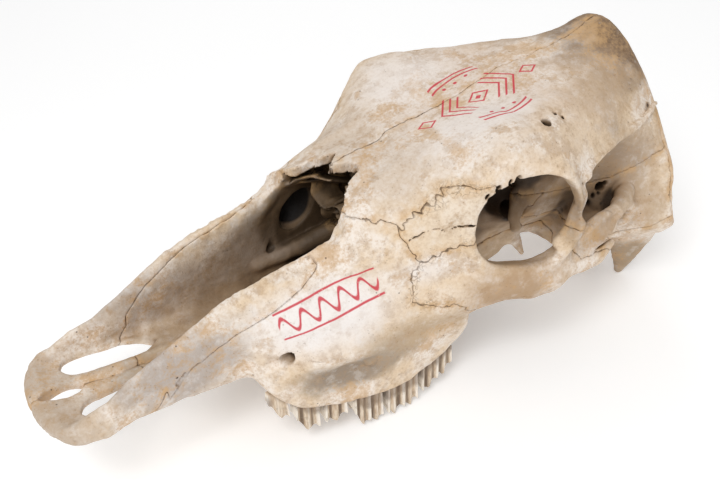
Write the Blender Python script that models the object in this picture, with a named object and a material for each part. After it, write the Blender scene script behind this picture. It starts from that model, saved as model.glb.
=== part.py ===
"""Cow skull, life size, resting on its teeth and the two jugular processes.

The whole skull is sculpted as one form from named sizes, in mm, in skull axes:
x back from the nose, y out to the left, z up. It is then parted into its bones
with 0.3 mm cuts, given its teeth, and laid down as it rests. Row frame, in metres:
the nose points to -X, the skull's left side is -Y, Z is up from the floor.
"""
import math

import bmesh
import bpy
import numpy as np
import openvdb
from mathutils import Matrix, Vector

for leftover in list(bpy.data.objects):
    bpy.data.objects.remove(leftover, do_unlink=True)

GRID = 2.2
TRIANGLES = 5600
GAP = 0.3
REST_LEAN = 5.6
REST_LIFT = 38.7

ROOF_MIDDLE = [(205, 141), (222, 147), (261, 155), (290, 161), (318, 169), (361, 181), (396, 188),
               (418, 195), (434, 202), (444, 198), (452, 188), (458, 178)]
ROOF_AT_40 = [(205, 127), (222, 135), (245, 145), (266, 157), (290, 166), (340, 179), (375, 183),
              (400, 181), (420, 175), (440, 171), (450, 165), (458, 156)]
ROOF_AT_75 = [(205, 84), (240, 108), (258, 131), (272, 152), (288, 167), (310, 173), (340, 172),
              (360, 162), (385, 147), (400, 141), (420, 131), (450, 118), (458, 110)]
FRONTAL_EDGE = [(205, 50), (240, 62), (262, 72), (278, 82), (300, 89), (322, 94), (340, 96),
                (350, 92), (360, 87), (372, 81), (385, 76), (398, 71), (415, 66), (437, 61), (455, 56)]
FRONTAL_DEPTH = [(205, 7), (250, 9), (285, 12), (320, 20), (350, 40), (456, 60)]
FRONTAL_FRONT = [(0, 217.5), (3, 221.5), (7, 227), (12, 230.5), (17, 229.5), (21, 221), (27, 214.5),
                 (35, 210.5), (40, 208.5), (60, 205)]
NOSE_RIM = [(20, 40), (34, 46), (62, 61), (95, 78), (113, 89), (124, 94), (150, 101), (182, 109),
            (195, 116), (209, 125), (230, 137)]
TOOTH_LINE = [(60, 38), (78, 38), (95, 36), (128, 35), (139, 32), (145, 24), (160, 12), (180, 8),
              (205, 6), (228, 5), (245, 8), (262, 15), (275, 25), (292, 38)]
NUCHAL_ARCH = [(40, 46), (52, 62), (64, 80), (72, 85), (100, 80), (116, 76), (132, 71), (149, 63),
               (160, 54), (172, 41), (190, 19), (204, 6)]
FACE_HEIGHTS = (6, 24, 45, 70, 100, 130, 165)
FACE_HALF_WIDTHS = {
    60: (36, 36, 40, 40, 38, 38, 38),
    95: (33, 33, 37, 40, 38, 38, 38),
    122: (33, 33, 41, 44, 40, 38, 38),
    134: (34, 34, 42, 47, 42, 38, 37),
    143: (50, 50, 51, 50, 43, 38, 36),
    158: (59, 59, 58, 56, 46, 38, 36),
    178: (64, 64, 63, 62, 49, 38, 36),
    200: (68, 68, 67, 67, 54, 41, 37),
    230: (69, 70, 72, 74, 64, 49, 38),
    262: (67, 69, 73, 78, 76, 72, 66),
    292: (65, 68, 76, 82, 84, 84, 82),
}
ORBIT = {"centre": (309, 86, 120.5), "half": (31.5, 32.5)}
FISSURE_INNER = [(34, 23), (37, 17), (42, 13.5), (50, 12), (60, 11.3), (74, 11.3), (84, 12), (92, 14), (98, 17.5)]
FISSURE_OUTER = [(34, 23), (37, 28), (44, 32), (56, 33.5), (66, 31.5), (79, 28.5), (88, 25), (98, 17.5)]

# tooth: length along the row, crown below the bone, width across, lobes on the cheek side
TEETH = {
    "premolar_2": (15, 9, 13, 1),
    "premolar_3": (18, 12, 16, 1),
    "premolar_4": (18.5, 14, 18, 1),
    "molar_1": (25, 20, 20, 2),
    "molar_2": (28, 18, 21, 2),
    "molar_3": (30, 17, 20, 2),
}
ROW_START = 141
CHEEK_SIDE = [(141, 51), (150, 56), (160, 60), (180, 65.5), (200, 69), (225, 70.5), (245, 70), (262, 68), (280, 65)]
CROWN_TIPS = [(141, 14), (150, 8), (160, 1), (175, -6), (190, -9), (205, -15.5), (218, -17.6), (232, -16.6),
              (246, -13.5), (258, -9), (270, -3), (280, 4)]


def smooth_min(a, b, k):
    if k <= 0:
        return np.minimum(a, b)
    h = np.clip(0.5 + 0.5 * (b - a) / k, 0, 1)
    return b + (a - b) * h - k * h * (1 - h)


def smooth_max(a, b, k):
    return -smooth_min(-a, -b, k)


def along(stations, x):
    """A smooth curve through (place, value) stations, read at x."""
    places = np.array([s[0] for s in stations], float)
    values = np.array([s[1] for s in stations], float)
    slope = np.gradient(values, places)
    x = np.clip(x, places[0], places[-1])
    i = np.clip(np.searchsorted(places, x, side="right") - 1, 0, len(places) - 2)
    width = places[i + 1] - places[i]
    t = (x - places[i]) / width
    a, b = values[i], values[i + 1]
    p, q = slope[i] * width, slope[i + 1] * width
    return a + t * (p + t * (3 * (b - a) - 2 * p - q + t * (p + q - 2 * (b - a))))


def ellipse_distance(parts, radii):
    """Near enough the distance to an ellipsoid, from the offsets along its axes."""
    near = np.sqrt(sum((p / r) ** 2 for p, r in zip(parts, radii)))
    steep = np.sqrt(sum((p / r**2) ** 2 for p, r in zip(parts, radii)))
    return near * (near - 1) / np.maximum(steep, 1e-6)


class Clay:
    """The left half of the skull's space as a grid of distances to the surface."""

    def __init__(self, low, high, step):
        self.step = step
        self.low = np.array(low, float)
        counts = np.ceil((np.array(high, float) - self.low) / step).astype(int) + 1
        self.axes = [self.low[i] + step * np.arange(counts[i]) for i in range(3)]
        self.field = np.full(counts, 60.0, np.float32)

    def work(self, shape, blend, adding):
        measure, low, high = shape
        reach = 2 * blend + 3 * self.step
        window = []
        for i in range(3):
            first = int(math.floor((low[i] - reach - self.low[i]) / self.step))
            last = int(math.ceil((high[i] + reach - self.low[i]) / self.step)) + 1
            window.append(slice(max(first, 0), max(min(last, len(self.axes[i])), 0)))
        window = tuple(window)
        if any(w.stop <= w.start for w in window):
            return
        x, y, z = (self.axes[i][window[i]].reshape([-1 if j == i else 1 for j in range(3)]) for i in range(3))
        d = measure(x, y, z)
        old = self.field[window]
        self.field[window] = smooth_min(old, d, blend) if adding else smooth_max(old, -d, blend)

    def add(self, shape, blend=4.0):
        self.work(shape, blend, True)

    def cut(self, shape, blend=2.0):
        self.work(shape, blend, False)


def ball(centre, radii, lean=0.0, yaw=0.0):
    """An ellipsoid. lean turns it in the side view and yaw in the top view, in degrees."""
    c, s = math.cos(math.radians(lean)), math.sin(math.radians(lean))
    cy, sy = math.cos(math.radians(yaw)), math.sin(math.radians(yaw))

    def measure(x, y, z):
        dx, dy, dz = x - centre[0], y - centre[1], z - centre[2]
        dx, dy = cy * dx + sy * dy, -sy * dx + cy * dy
        dx, dz = c * dx + s * dz, -s * dx + c * dz
        return ellipse_distance((dx, dy, dz), radii)

    centre = np.array(centre, float)
    return measure, centre - max(radii), centre + max(radii)


def strap(points, wide, thin=None, face=(0, 1, 0)):
    """A bar along points. wide and thin are its half sizes at each point, thin along face."""
    points = np.array(points, float)
    count = len(points)
    wide = np.broadcast_to(np.array(wide, float), count)
    thin = wide if thin is None else np.broadcast_to(np.array(thin, float), count)
    faces = np.array(face, float)
    if faces.ndim == 1:
        faces = np.tile(faces, (count, 1))
    faces = faces / np.linalg.norm(faces, axis=1)[:, None]

    def measure(x, y, z):
        best = None
        for i in range(count - 1):
            a, d = points[i], points[i + 1] - points[i]
            t = np.clip(((x - a[0]) * d[0] + (y - a[1]) * d[1] + (z - a[2]) * d[2]) / (d @ d), 0, 1)
            px, py, pz = x - a[0] - t * d[0], y - a[1] - t * d[1], z - a[2] - t * d[2]
            n = [faces[i][j] + t * (faces[i + 1][j] - faces[i][j]) for j in range(3)]
            off = px * n[0] + py * n[1] + pz * n[2]
            rest = np.sqrt(np.maximum(px * px + py * py + pz * pz - off * off, 0))
            sizes = (thin[i] + t * (thin[i + 1] - thin[i]), wide[i] + t * (wide[i + 1] - wide[i]))
            one = ellipse_distance((off, rest), sizes)
            best = one if best is None else np.minimum(best, one)
        return best

    reach = float(max(wide.max(), thin.max()))
    return measure, points.min(0) - reach, points.max(0) + reach


def box(low, high, round_by):
    low, high = np.array(low, float), np.array(high, float)

    def measure(x, y, z):
        middle, half = (low + high) / 2, (high - low) / 2 - round_by
        q = [abs(v - m) - h for v, m, h in zip((x, y, z), middle, half)]
        out = np.sqrt(sum(np.maximum(v, 0) ** 2 for v in q))
        return out + np.minimum(np.maximum(np.maximum(q[0], q[1]), q[2]), 0) - round_by

    return measure, low, high


def roof(x, y):
    """Height of the forehead, an even quartic across the skull."""
    middle, side, edge = along(ROOF_MIDDLE, x), along(ROOF_AT_40, x), along(ROOF_AT_75, x)
    p, q = side - middle, edge - middle
    c = (q - p * (75 / 40) ** 2) / (75.0**4 - 40.0**2 * 75.0**2)
    b = (p - c * 40.0**4) / 40.0**2
    y = np.minimum(abs(y), 100)
    return middle + b * y**2 + c * y**4


def face_half_width(x, z):
    places = sorted(FACE_HALF_WIDTHS)
    z = np.clip(z, FACE_HEIGHTS[0], FACE_HEIGHTS[-1])
    total = 0
    for i, height in enumerate(FACE_HEIGHTS):
        row = along([(p, FACE_HALF_WIDTHS[p][i]) for p in places], x)
        before = FACE_HEIGHTS[i - 1] if i else height - 1
        after = FACE_HEIGHTS[i + 1] if i + 1 < len(FACE_HEIGHTS) else height + 1
        share = np.clip((z - before) / (height - before), 0, 1) * np.clip((after - z) / (after - height), 0, 1)
        total = total + row * share * share * (3 - 2 * share)
    return total


def face():
    def measure(x, y, z):
        side = (y - face_half_width(x, z)) * 0.94
        d = smooth_max(side, along(TOOTH_LINE, x) - z, 5)
        rim = along(NOSE_RIM, np.minimum(x, 215)) + np.maximum(x - 215, 0) * 3.0
        d = smooth_max(d, (z - np.minimum(rim, roof(x, y) - 1)) * 0.85, 3)
        d = smooth_max(d, x - 284 - np.maximum(z - 60, 0) * 0.25, 10)
        return smooth_max(d, (88 - x) * 0.9 + (z - 36) * 0.35, 4)

    return measure, (40, 0, 0), (330, 110, 200)


def nasal_cavity():
    def measure(x, y, z):
        wide = along([(50, 33), (100, 34), (200, 35), (240, 34), (268, 28)], x)
        d = smooth_max(y - wide, along([(50, 40.5), (100, 41), (130, 43.5)], x) - z, 14)
        return smooth_max(smooth_max(d, x - 262, 10), 40 - x, 4)

    return measure, (44, 0, 40), (268, 44, 210)


def forehead():
    def measure(x, y, z):
        edge = along(FRONTAL_EDGE, x)
        steep = along([(330, 0.75), (350, 1.0), (380, 2.6)], x)
        thick = np.minimum(6 + steep * np.maximum(edge - y, 0), along(FRONTAL_DEPTH, x))
        d = smooth_max((z - roof(x, y)) * 0.93, (y - edge) * 0.92, 5)
        d = smooth_max(d, (roof(x, y) - thick - z) * 0.8, 4)
        d = smooth_max(d, (along(FRONTAL_FRONT, y) - x) * 0.8, 1.5)
        return smooth_max(d, x - 452, 8)

    return measure, (196, 0, 80), (456, 100, 206)


def nuchal_flare():
    """The hind wall of the temporal fossa, sweeping out to the nuchal crest."""

    def measure(x, y, z):
        arch = along(NUCHAL_ARCH, z)
        t = np.clip((x - 384) / 66, 0, 1)
        wide = 52 + (arch - 52) * t ** (0.8 + 0.9 * np.clip((z - 90) / 35, 0, 1))
        wide = np.minimum(wide, np.maximum(arch, 0))
        d = smooth_max((y - wide) * 0.8, (z - roof(np.minimum(x, 456), y)) * 0.9, 3)
        d = smooth_max(d, 62 - z + 0.25 * (x - 450), 8)
        d = smooth_max(d, x - (455 - 0.10 * np.maximum(120 - z, 0)), 4)
        return smooth_max(d, 385 - x, 6)

    return measure, (380, 0, 40), (462, 96, 206)


def orbit_mouth():
    def measure(x, y, z):
        across = x - ORBIT["centre"][0] - (y - 86) * 0.20 - (z - ORBIT["centre"][2]) * 0.06
        up = z - ORBIT["centre"][2]
        rim = (abs(across / ORBIT["half"][0]) ** 2.3 + abs(up / ORBIT["half"][1]) ** 2.3) ** (1 / 2.3) - 1
        return smooth_max(rim * 30, 54 - y, 8)

    return measure, (270, 48, 80), (352, 120, 156)


def temporal_fossa():
    def measure(x, y, z):
        inner = along([(340, 50), (356, 51), (380, 56), (400, 61), (420, 68), (440, 80), (456, 98)], x) - y
        top = z - along([(340, 129), (350, 134), (362, 138), (385, 141), (410, 142), (430, 144), (445, 149)], x)
        d = smooth_max(inner, top, 9)
        d = smooth_max(d, 347 + 0.10 * (y - 86) - x, 6)
        return smooth_max(smooth_max(d, x - 428, 10), 40 - z, 4)

    return measure, (340, 46, 40), (430, 120, 152)


def premaxilla_plate():
    def measure(x, y, z):
        outer = ((abs(np.minimum(x, 48) - 48) / 38) ** 2.6 + (abs(y) / 45) ** 2.6) ** (1 / 2.6)
        edge = smooth_max((outer - 1) * 38, y - along([(44, 45), (52, 41.5), (62, 38), (75, 36.5), (104, 36)], x), 3)
        level = 38.5 - 2.5 * np.clip((20 - x) / 20, 0, 1)
        thick = 2.4 + 2.4 * np.clip((32 - x) / 12, 0, 1) + 3.4 * np.clip((y - 32) / 6, 0, 1)
        flat = abs(z - level) - np.minimum(thick, 6.2)
        return smooth_max(smooth_max(edge, flat, 4), x - 106, 4)

    return measure, (4, 0, 26), (110, 48, 50)


def palatine_fissure():
    def measure(x, y, z):
        inner, outer = along(FISSURE_INNER, x), along(FISSURE_OUTER, x)
        return np.maximum(abs(y - (inner + outer) / 2) - (outer - inner) / 2, abs(x - 66) - 32) + 0 * z

    return measure, (30, 4, 20), (102, 38, 60)


def incisive_gap():
    def measure(x, y, z):
        half = 5.4 * np.sqrt(np.clip(1 - ((x - 29) / 14) ** 2, 0, 1))
        return np.maximum(y - half, abs(x - 29) - 14) + 0 * z

    return measure, (12, 0, 20), (46, 8, 60)


def sculpt(step):
    clay = Clay((0, 0, -4), (480, 110, 212), step)
    clay.add(face(), 0)
    clay.add(ball((196, 61, 50), (30, 10, 10), yaw=6), 12)
    clay.cut(nasal_cavity(), 3)
    # braincase, forehead and base
    clay.add(ball((372, 0, 122), (80, 52, 62)), 6)
    clay.add(ball((330, 0, 105), (60, 36, 48)), 14)
    clay.add(ball((425, 0, 120), (34, 62, 62)), 14)
    clay.add(forehead(), 12)
    clay.add(nuchal_flare(), 8)
    clay.add(strap([(300, 0, 74), (350, 0, 64), (400, 0, 60), (452, 0, 62)],
                   (22, 22, 26, 34), (16, 12, 12, 14), face=(0, 0, 1)), 10)
    # inside of the nose
    clay.cut(box((186, 26, 50), (250, 42, 100), 3), 1.5)
    clay.cut(ball((214, 40, 94), (14, 13, 17.5), lean=-30), 1.2)
    clay.cut(ball((216, 45, 86), (18, 9, 17)), 1.5)
    clay.add(strap([(180, 39, 61), (213, 35, 66), (238, 32, 74), (262, 26, 84)], (6, 6.5, 7, 8)), 3)
    clay.add(ball((270, 0, 98), (20, 26, 34)), 8)
    clay.add(strap([(232, 22, 98), (258, 21, 96)], (9, 10), (5, 6), face=(0, 1, 0.3)), 3)
    clay.add(strap([(208, 37, 118), (226, 33, 118), (248, 28, 112)], (7, 9, 9), (1.8, 1.8, 2), face=(0, 0.35, 1)), 3)
    # orbit
    turns = np.linspace(0, 2 * np.pi, 25)
    ring = [(308.5 - 35.5 * np.cos(t), 85.5 - 10.5 * np.cos(t), 119 + 36 * np.sin(t)) for t in turns]
    wide = [6 + 5 * max(0, -np.sin(t)) ** 2 - 1.5 * max(0, -np.cos(t)) ** 2 for t in turns]
    clay.add(strap(ring, wide, [4.5 + 1.5 * max(0, -np.sin(t)) for t in turns], face=(-0.27, 0.95, 0.1)), 6)
    clay.cut(orbit_mouth(), 2.5)
    clay.cut(strap([(312, 92, 119), (322, 60, 112), (332, 36, 104)], (29, 24, 12)), 6)
    clay.cut(temporal_fossa(), 6)
    clay.cut(strap([(311, 53, 90), (315, 55, 60), (319, 56, 30)], (22, 26, 28)), 6)
    clay.add(strap([(344, 44, 108), (339, 47, 96), (337, 48, 87)], (12, 9, 5), (5, 4, 3)), 4)
    # bar behind the orbit
    clay.add(strap([(354, 88, 137), (349.5, 91, 124), (344.5, 93, 116), (340.5, 94, 109), (335, 94, 100)],
                   (6, 4.6, 4.3, 4.5, 6.5), (4, 3.6, 3.5, 3.8, 4.5), face=(-0.27, 0.95, 0.1)), 3)
    # zygomatic arch
    clay.add(strap([(258, 75, 70), (280, 80, 73), (300, 86, 75), (318, 91, 73), (330, 93, 72), (344, 94, 76)],
                   (15, 16, 14.5, 15, 13, 6), (6, 6, 6, 5.5, 5, 3.6), face=(-0.2, 0.95, -0.2)), 6)
    clay.add(strap([(330, 94, 74), (346, 94, 76), (360, 93, 74.5), (373, 91, 73.5), (388, 88, 78)],
                   (7, 6, 7.5, 7.5, 3), (4, 3.8, 3.6, 3.4, 2.4)), 4)
    clay.add(strap([(340, 93.5, 86), (361, 91, 91), (381, 86, 94.5), (394, 82, 97.5), (406, 76, 98), (418, 66, 99)],
                   (6.5, 10.5, 9.5, 6, 5.5, 7), (2.6, 3, 3.2, 3.4, 4.5, 7),
                   face=[(-0.15, 0.95, 0.25), (-0.2, 0.93, 0.3), (-0.25, 0.9, 0.35), (-0.35, 0.85, 0.4),
                         (-0.45, 0.8, 0.45), (-0.6, 0.6, 0.5)]), 3)
    clay.add(strap([(404, 75, 97), (416, 73, 92), (424, 73, 86), (433, 75, 77), (446, 79, 68), (452, 82, 72)],
                   (4.4, 3.8, 3.4, 3.2, 3.2, 3.2)), 5)
    clay.add(ball((393, 62, 83), (17, 20, 8)), 7)
    # condyles, foramen magnum, jugular processes, ears
    clay.add(ball((458, 27, 62), (16, 18, 22), yaw=-20), 8)
    clay.cut(strap([(480, 0, 84), (448, 0, 84), (430, 0, 86)], (18, 16, 10)), 4)
    clay.add(strap([(434, 66, 70), (441, 59, 50), (447, 51.5, 27), (451, 45, 9)], (23, 17, 9.5, 3.6),
                   (9, 5, 4, 3.4), face=(-0.476, 0.777, -0.411)), 5)
    clay.add(ball((410, 42, 50), (20, 13, 20)), 6)
    clay.add(strap([(404, 38, 44), (384, 33, 26)], (7, 2.2)), 4)
    clay.add(strap([(412, 48, 76), (416, 68, 80)], (10, 7)), 5)
    # pterygoids, palate, floor of the nose, vomer
    clay.add(strap([(276, 22, 48), (310, 22, 52), (336, 23, 60), (364, 22, 71)], (20, 18, 14, 7), (3.5, 3, 3, 3)), 5)
    clay.add(strap([(350, 23, 64), (360, 24, 54), (366, 25, 42)], (8, 4.5, 2.2), (3, 2.6, 2)), 3)
    clay.cut(strap([(146, 0, 4), (200, 0, 4), (270, 0, 4), (330, 0, 12)], (34, 34, 35, 40), (38, 45, 47, 22)), 5)
    clay.add(box((96, 0, 36), (280, 40, 43), 3), 4)
    clay.add(box((112, -4, 40), (286, 2.4, 54), 1.5), 3)
    # premaxilla
    clay.add(premaxilla_plate(), 3)
    clay.add(strap([(30, 36, 39), (50, 38, 47), (66, 35, 52), (84, 35.5, 60.5), (110, 36.5, 74), (140, 37, 87),
                    (168, 37.5, 99), (188, 38, 108)], (6.5, 8.5, 10.5, 12, 14, 13, 10, 6),
                   (5, 4, 3.4, 3.6, 3.6, 3.2, 2.8, 2.4)), 4)
    clay.add(strap([(58, 38, 38), (84, 37, 43), (110, 37, 52)], (3, 8, 10), (3, 3, 3.4)), 3)
    clay.add(strap([(44, 6, 39.5), (95, 6, 40.5), (135, 5, 43)], (5, 4.5, 3), (2.8, 3.2, 4), face=(0, 0, 1)), 2)
    clay.cut(palatine_fissure(), 1.5)
    clay.cut(incisive_gap(), 1.5)
    clay.cut(strap([(1, 0, 38), (14, 0, 38)], (8.5, 0.8)), 2)
    return clay


def mesh_object(name, vertices, faces):
    mesh = bpy.data.meshes.new(name)
    mesh.from_pydata([tuple(v) for v in vertices], [], [tuple(f) for f in faces])
    mesh.validate()
    made = bpy.data.objects.new(name, mesh)
    bpy.context.scene.collection.objects.link(made)
    return made


def drop(thing):
    mesh = thing.data
    bpy.data.objects.remove(thing, do_unlink=True)
    bpy.data.meshes.remove(mesh)


def modified(thing, kind, **settings):
    """A new object holding the mesh with one modifier applied."""
    modifier = thing.modifiers.new(kind.lower(), kind)
    for key, value in settings.items():
        setattr(modifier, key, value)
    evaluated = thing.evaluated_get(bpy.context.evaluated_depsgraph_get())
    mesh = bpy.data.meshes.new_from_object(evaluated)
    thing.modifiers.clear()
    made = bpy.data.objects.new(thing.name, mesh)
    bpy.context.scene.collection.objects.link(made)
    return made


def boolean(thing, other, operation):
    return modified(thing, "BOOLEAN", solver="EXACT", operation=operation, object=other)


def whole_skull():
    clay = sculpt(GRID)
    half = clay.field
    full = np.pad(np.concatenate([half[:, :0:-1, :], half], axis=1), 2, constant_values=10)
    grid = openvdb.FloatGrid(background=10.0)
    grid.copyFromArray(np.ascontiguousarray(full.astype(np.float32)))
    points, quads = grid.convertToQuads(isovalue=0.0)
    corner = np.array([clay.axes[0][0], -clay.axes[1][-1], clay.axes[2][0]]) - 2 * GRID
    points = points * GRID + corner
    raw = mesh_object("raw", points, quads[:, ::-1])
    ratio = TRIANGLES / (2 * len(quads))
    coarse = modified(raw, "DECIMATE", ratio=ratio, use_collapse_triangulate=True)
    whole = modified(coarse, "MIRROR", use_axis=(False, True, False), use_bisect_axis=(False, True, False),
                     merge_threshold=0.0001)
    drop(raw)
    drop(coarse)
    return facing_out(whole)


def facing_out(thing):
    work = bmesh.new()
    work.from_mesh(thing.data)
    bmesh.ops.triangulate(work, faces=work.faces)
    if work.calc_volume(signed=True) < 0:
        bmesh.ops.reverse_faces(work, faces=work.faces)
    work.to_mesh(thing.data)
    work.free()
    return thing


def grown(outline, by):
    """The outline with every side moved out by a distance, counter-clockwise."""
    area = sum(a[0] * b[1] - b[0] * a[1] for a, b in zip(outline, outline[1:] + outline[:1]))
    points = outline if area > 0 else outline[::-1]
    moved = []
    for before, here, after in zip(points[-1:] + points[:-1], points, points[1:] + points[:1]):
        into = (Vector(here) - Vector(before)).normalized()
        away = (Vector(after) - Vector(here)).normalized()
        normal = Vector((into.y, -into.x)) + Vector((away.y, -away.x))
        normal = normal / max(normal.dot(Vector((into.y, -into.x))), 0.35)
        moved.append((here[0] + normal.x * by, here[1] + normal.y * by))
    return moved


def prism(outline, near, far, by):
    """A block whose side view is the outline, from y = near to y = far, grown by a distance."""
    points = grown(outline, by)
    count = len(points)
    vertices = [(x, near - by, z) for x, z in points] + [(x, far + by, z) for x, z in points]
    faces = [list(range(count)), list(range(2 * count - 1, count - 1, -1))]
    faces += [[i, i + count, (i + 1) % count + count, (i + 1) % count] for i in range(count)]
    made = mesh_object("block", vertices, faces)
    work = bmesh.new()
    work.from_mesh(made.data)
    bmesh.ops.triangulate(work, faces=work.faces)
    bmesh.ops.recalc_face_normals(work, faces=work.faces)
    work.to_mesh(made.data)
    work.free()
    return made


def largest(thing):
    """Keep only the largest closed surface."""
    work = bmesh.new()
    work.from_mesh(thing.data)
    bmesh.ops.triangulate(work, faces=work.faces)
    seen, groups = set(), []
    for start in work.verts:
        if start in seen:
            continue
        group, stack = [], [start]
        seen.add(start)
        while stack:
            here = stack.pop()
            group.append(here)
            for edge in here.link_edges:
                other = edge.other_vert(here)
                if other not in seen:
                    seen.add(other)
                    stack.append(other)
        groups.append(group)

    def volume(group):
        faces = {face for vertex in group for face in vertex.link_faces}
        return sum(f.verts[0].co.dot(f.verts[1].co.cross(f.verts[2].co)) for f in faces) / 6

    groups.sort(key=volume, reverse=True)
    for group in groups[1:]:
        bmesh.ops.delete(work, geom=group, context="VERTS")
    work.to_mesh(thing.data)
    work.free()
    return thing


def part_off(rest, outline, near, far):
    """Cut the block out of the rest: returns the piece and what is left, 0.3 mm apart."""
    inner, outer = prism(outline, near, far, -GAP / 2), prism(outline, near, far, GAP / 2)
    piece = boolean(rest, inner, "INTERSECT")
    left = boolean(rest, outer, "DIFFERENCE")
    for used in (inner, outer, rest):
        drop(used)
    return piece, left


def both_sides(piece, name):
    """Split a piece at the middle of the skull."""
    around = [(-50, -80), (520, -80), (520, 260), (-50, 260)]
    result = []
    for side, near, far in (("left", 0, 160), ("right", -160, 0)):
        block = prism(around, near, far, -GAP / 2)
        half = largest(boolean(piece, block, "INTERSECT"))
        half.name = f"{name}_{side}"
        result.append(half)
        drop(block)
    drop(piece)
    return result


def tooth(name, start, side):
    """One cheek tooth: a root block, folded cheek side and two rows of cusps."""
    length, crown, width, lobes = TEETH[name]
    end = start + length
    middle = (start + end) / 2
    rings = []
    cheek = [(0.04, 0.0), (0.5, -1.6)] if lobes == 1 else [(0.04, 0.0), (0.27, -1.8), (0.5, 0.2), (0.75, -1.8)]
    cheek.append((0.96, 0.0))
    tongue = [(0.93, 1.4), (0.5, 0.0), (0.07, 1.4)] if lobes == 1 else \
        [(0.94, 1.6), (0.74, 0.0), (0.5, 1.8), (0.26, 0.0), (0.06, 1.6)]
    for share, squeeze in ((0.0, 0.86), (0.35, 0.97), (0.8, 1.0), (1.0, 0.96)):
        ring = []
        for place, dent in cheek:
            x = start + length * place
            bottom = float(along(CROWN_TIPS, x))
            top = bottom + crown + 9
            y = float(along(CHEEK_SIDE, x)) + dent * min(1, share * 2.2) - (1 - squeeze) * width * 0.5
            zig = 0.0 if dent < 0 else 1.7
            ring.append((x, y + 1.2 * share, top + (bottom + zig * share - top) * share))
        for place, dent in tongue:
            x = start + length * place
            bottom = float(along(CROWN_TIPS, x)) + 1.5
            top = bottom + crown + 7
            y = float(along(CHEEK_SIDE, middle)) - width + dent + (1 - squeeze) * width * 0.5
            zig = 0.3 if dent < 1 else 2.6
            ring.append((x, y + 1.2 * share, top + (bottom + zig * share - top) * share))
        rings.append(ring)
    size = len(rings[0])
    vertices = [v for ring in rings for v in ring]
    faces = []
    for level in range(len(rings) - 1):
        for i in range(size):
            j = (i + 1) % size
            a, b = level * size, (level + 1) * size
            faces.append([a + i, a + j, b + j, b + i])
    top_middle = np.mean(rings[0], axis=0)
    wells = []
    for lobe in range(lobes):
        x = start + length * (lobe + 0.5) / lobes
        y = float(along(CHEEK_SIDE, x)) - width * 0.48
        wells.append((x, y, float(along(CROWN_TIPS, x)) + 4.2))
    vertices.append(tuple(top_middle))
    crown_top = len(vertices) - 1
    faces += [[crown_top, (i + 1) % size, i] for i in range(size)]
    last = (len(rings) - 1) * size
    first_well = len(vertices)
    vertices += wells
    n = len(cheek)
    for i in range(size):
        j = (i + 1) % size
        xs = (rings[-1][i][0] + rings[-1][j][0]) / 2
        well = 0 if lobes == 1 or xs < middle else 1
        faces.append([last + i, last + j, first_well + well])
    if lobes == 2:
        bridge_cheek, bridge_tongue = last + n // 2, last + n + len(tongue) // 2
        faces.append([bridge_cheek, first_well + 1, first_well])
        faces.append([bridge_tongue, first_well, first_well + 1])
    vertices = [(x, y * side, z) for x, y, z in vertices]
    made = mesh_object(name, vertices, faces)
    work = bmesh.new()
    work.from_mesh(made.data)
    bmesh.ops.triangulate(work, faces=work.faces)
    bmesh.ops.recalc_face_normals(work, faces=work.faces)
    if work.calc_volume(signed=True) < 0:
        bmesh.ops.reverse_faces(work, faces=work.faces)
    work.to_mesh(made.data)
    work.free()
    return made


def with_teeth(maxilla, side):
    start = ROW_START
    group = bpy.data.collections.new("teeth")
    bpy.context.scene.collection.children.link(group)
    for name in TEETH:
        made = tooth(name, start, side)
        bpy.context.scene.collection.objects.unlink(made)
        group.objects.link(made)
        start += TEETH[name][0] + 0.35
    joined = modified(maxilla, "BOOLEAN", solver="EXACT", operation="UNION", operand_type="COLLECTION", collection=group)
    for made in list(group.objects):
        drop(made)
    bpy.data.collections.remove(group)
    name = maxilla.name
    drop(maxilla)
    joined.name = name
    return largest(joined)


def laid_down(thing):
    """From skull axes in mm to the row frame in metres, as the skull rests."""
    c, s = math.cos(math.radians(REST_LEAN)), math.sin(math.radians(REST_LEAN))
    turn = Matrix(((c, 0, s, 0), (0, -1, 0, 0), (-s, 0, c, REST_LIFT), (0, 0, 0, 1)))
    thing.data.transform(turn)
    thing.data.flip_normals()
    thing.data.update()
    return thing


# Side-view outlines of the bones, (x, z) in mm
PREMAXILLA = [(-6, 10), (70, 10), (74, 36), (85, 51), (98, 65), (115, 77), (128, 85), (143, 91), (158, 98),
              (170, 104.5), (182, 116), (186, 128), (-6, 128)]
FRONTAL = [(190, 126), (209, 130.5), (222, 128), (234, 124), (243, 132), (252, 138), (260, 145), (269, 151),
           (284, 152), (300, 128), (322, 114), (343, 110), (358, 107), (380, 105), (410, 110), (436, 122),
           (448.5, 128), (449, 240), (190, 240)]
TEMPORAL = [(344, 92), (355, 80.5), (381, 78), (392, 70), (392, 10), (416, 10), (424, 48), (412, 62), (449, 80),
            (449, 135), (437, 135), (410, 130), (380, 119), (357, 106), (351, 99)]
ZYGOMATIC = [(244, 101), (238, 90), (234, 76), (251, 73), (266, 67), (282, 56), (290, 40), (400, 50), (400, 92),
             (356, 118), (330, 118), (300, 112), (285, 112), (270, 112), (258, 107)]
LACRIMAL = [(232, 126), (236, 112), (244, 101.5), (258, 107.5), (270, 112.5), (290, 112.5), (310, 118), (310, 160),
            (240, 160)]
PALATINE = [(251, 20), (360, 8), (392, 52), (380, 66), (345, 70), (300, 56), (251, 56)]
VOMER = [(104, 45.5), (250, 45.5), (290, 45.5), (290, 58), (104, 58)]
ETHMOID = [(186, 86), (232, 82), (262, 70), (262, 130), (186, 130)]

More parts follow.
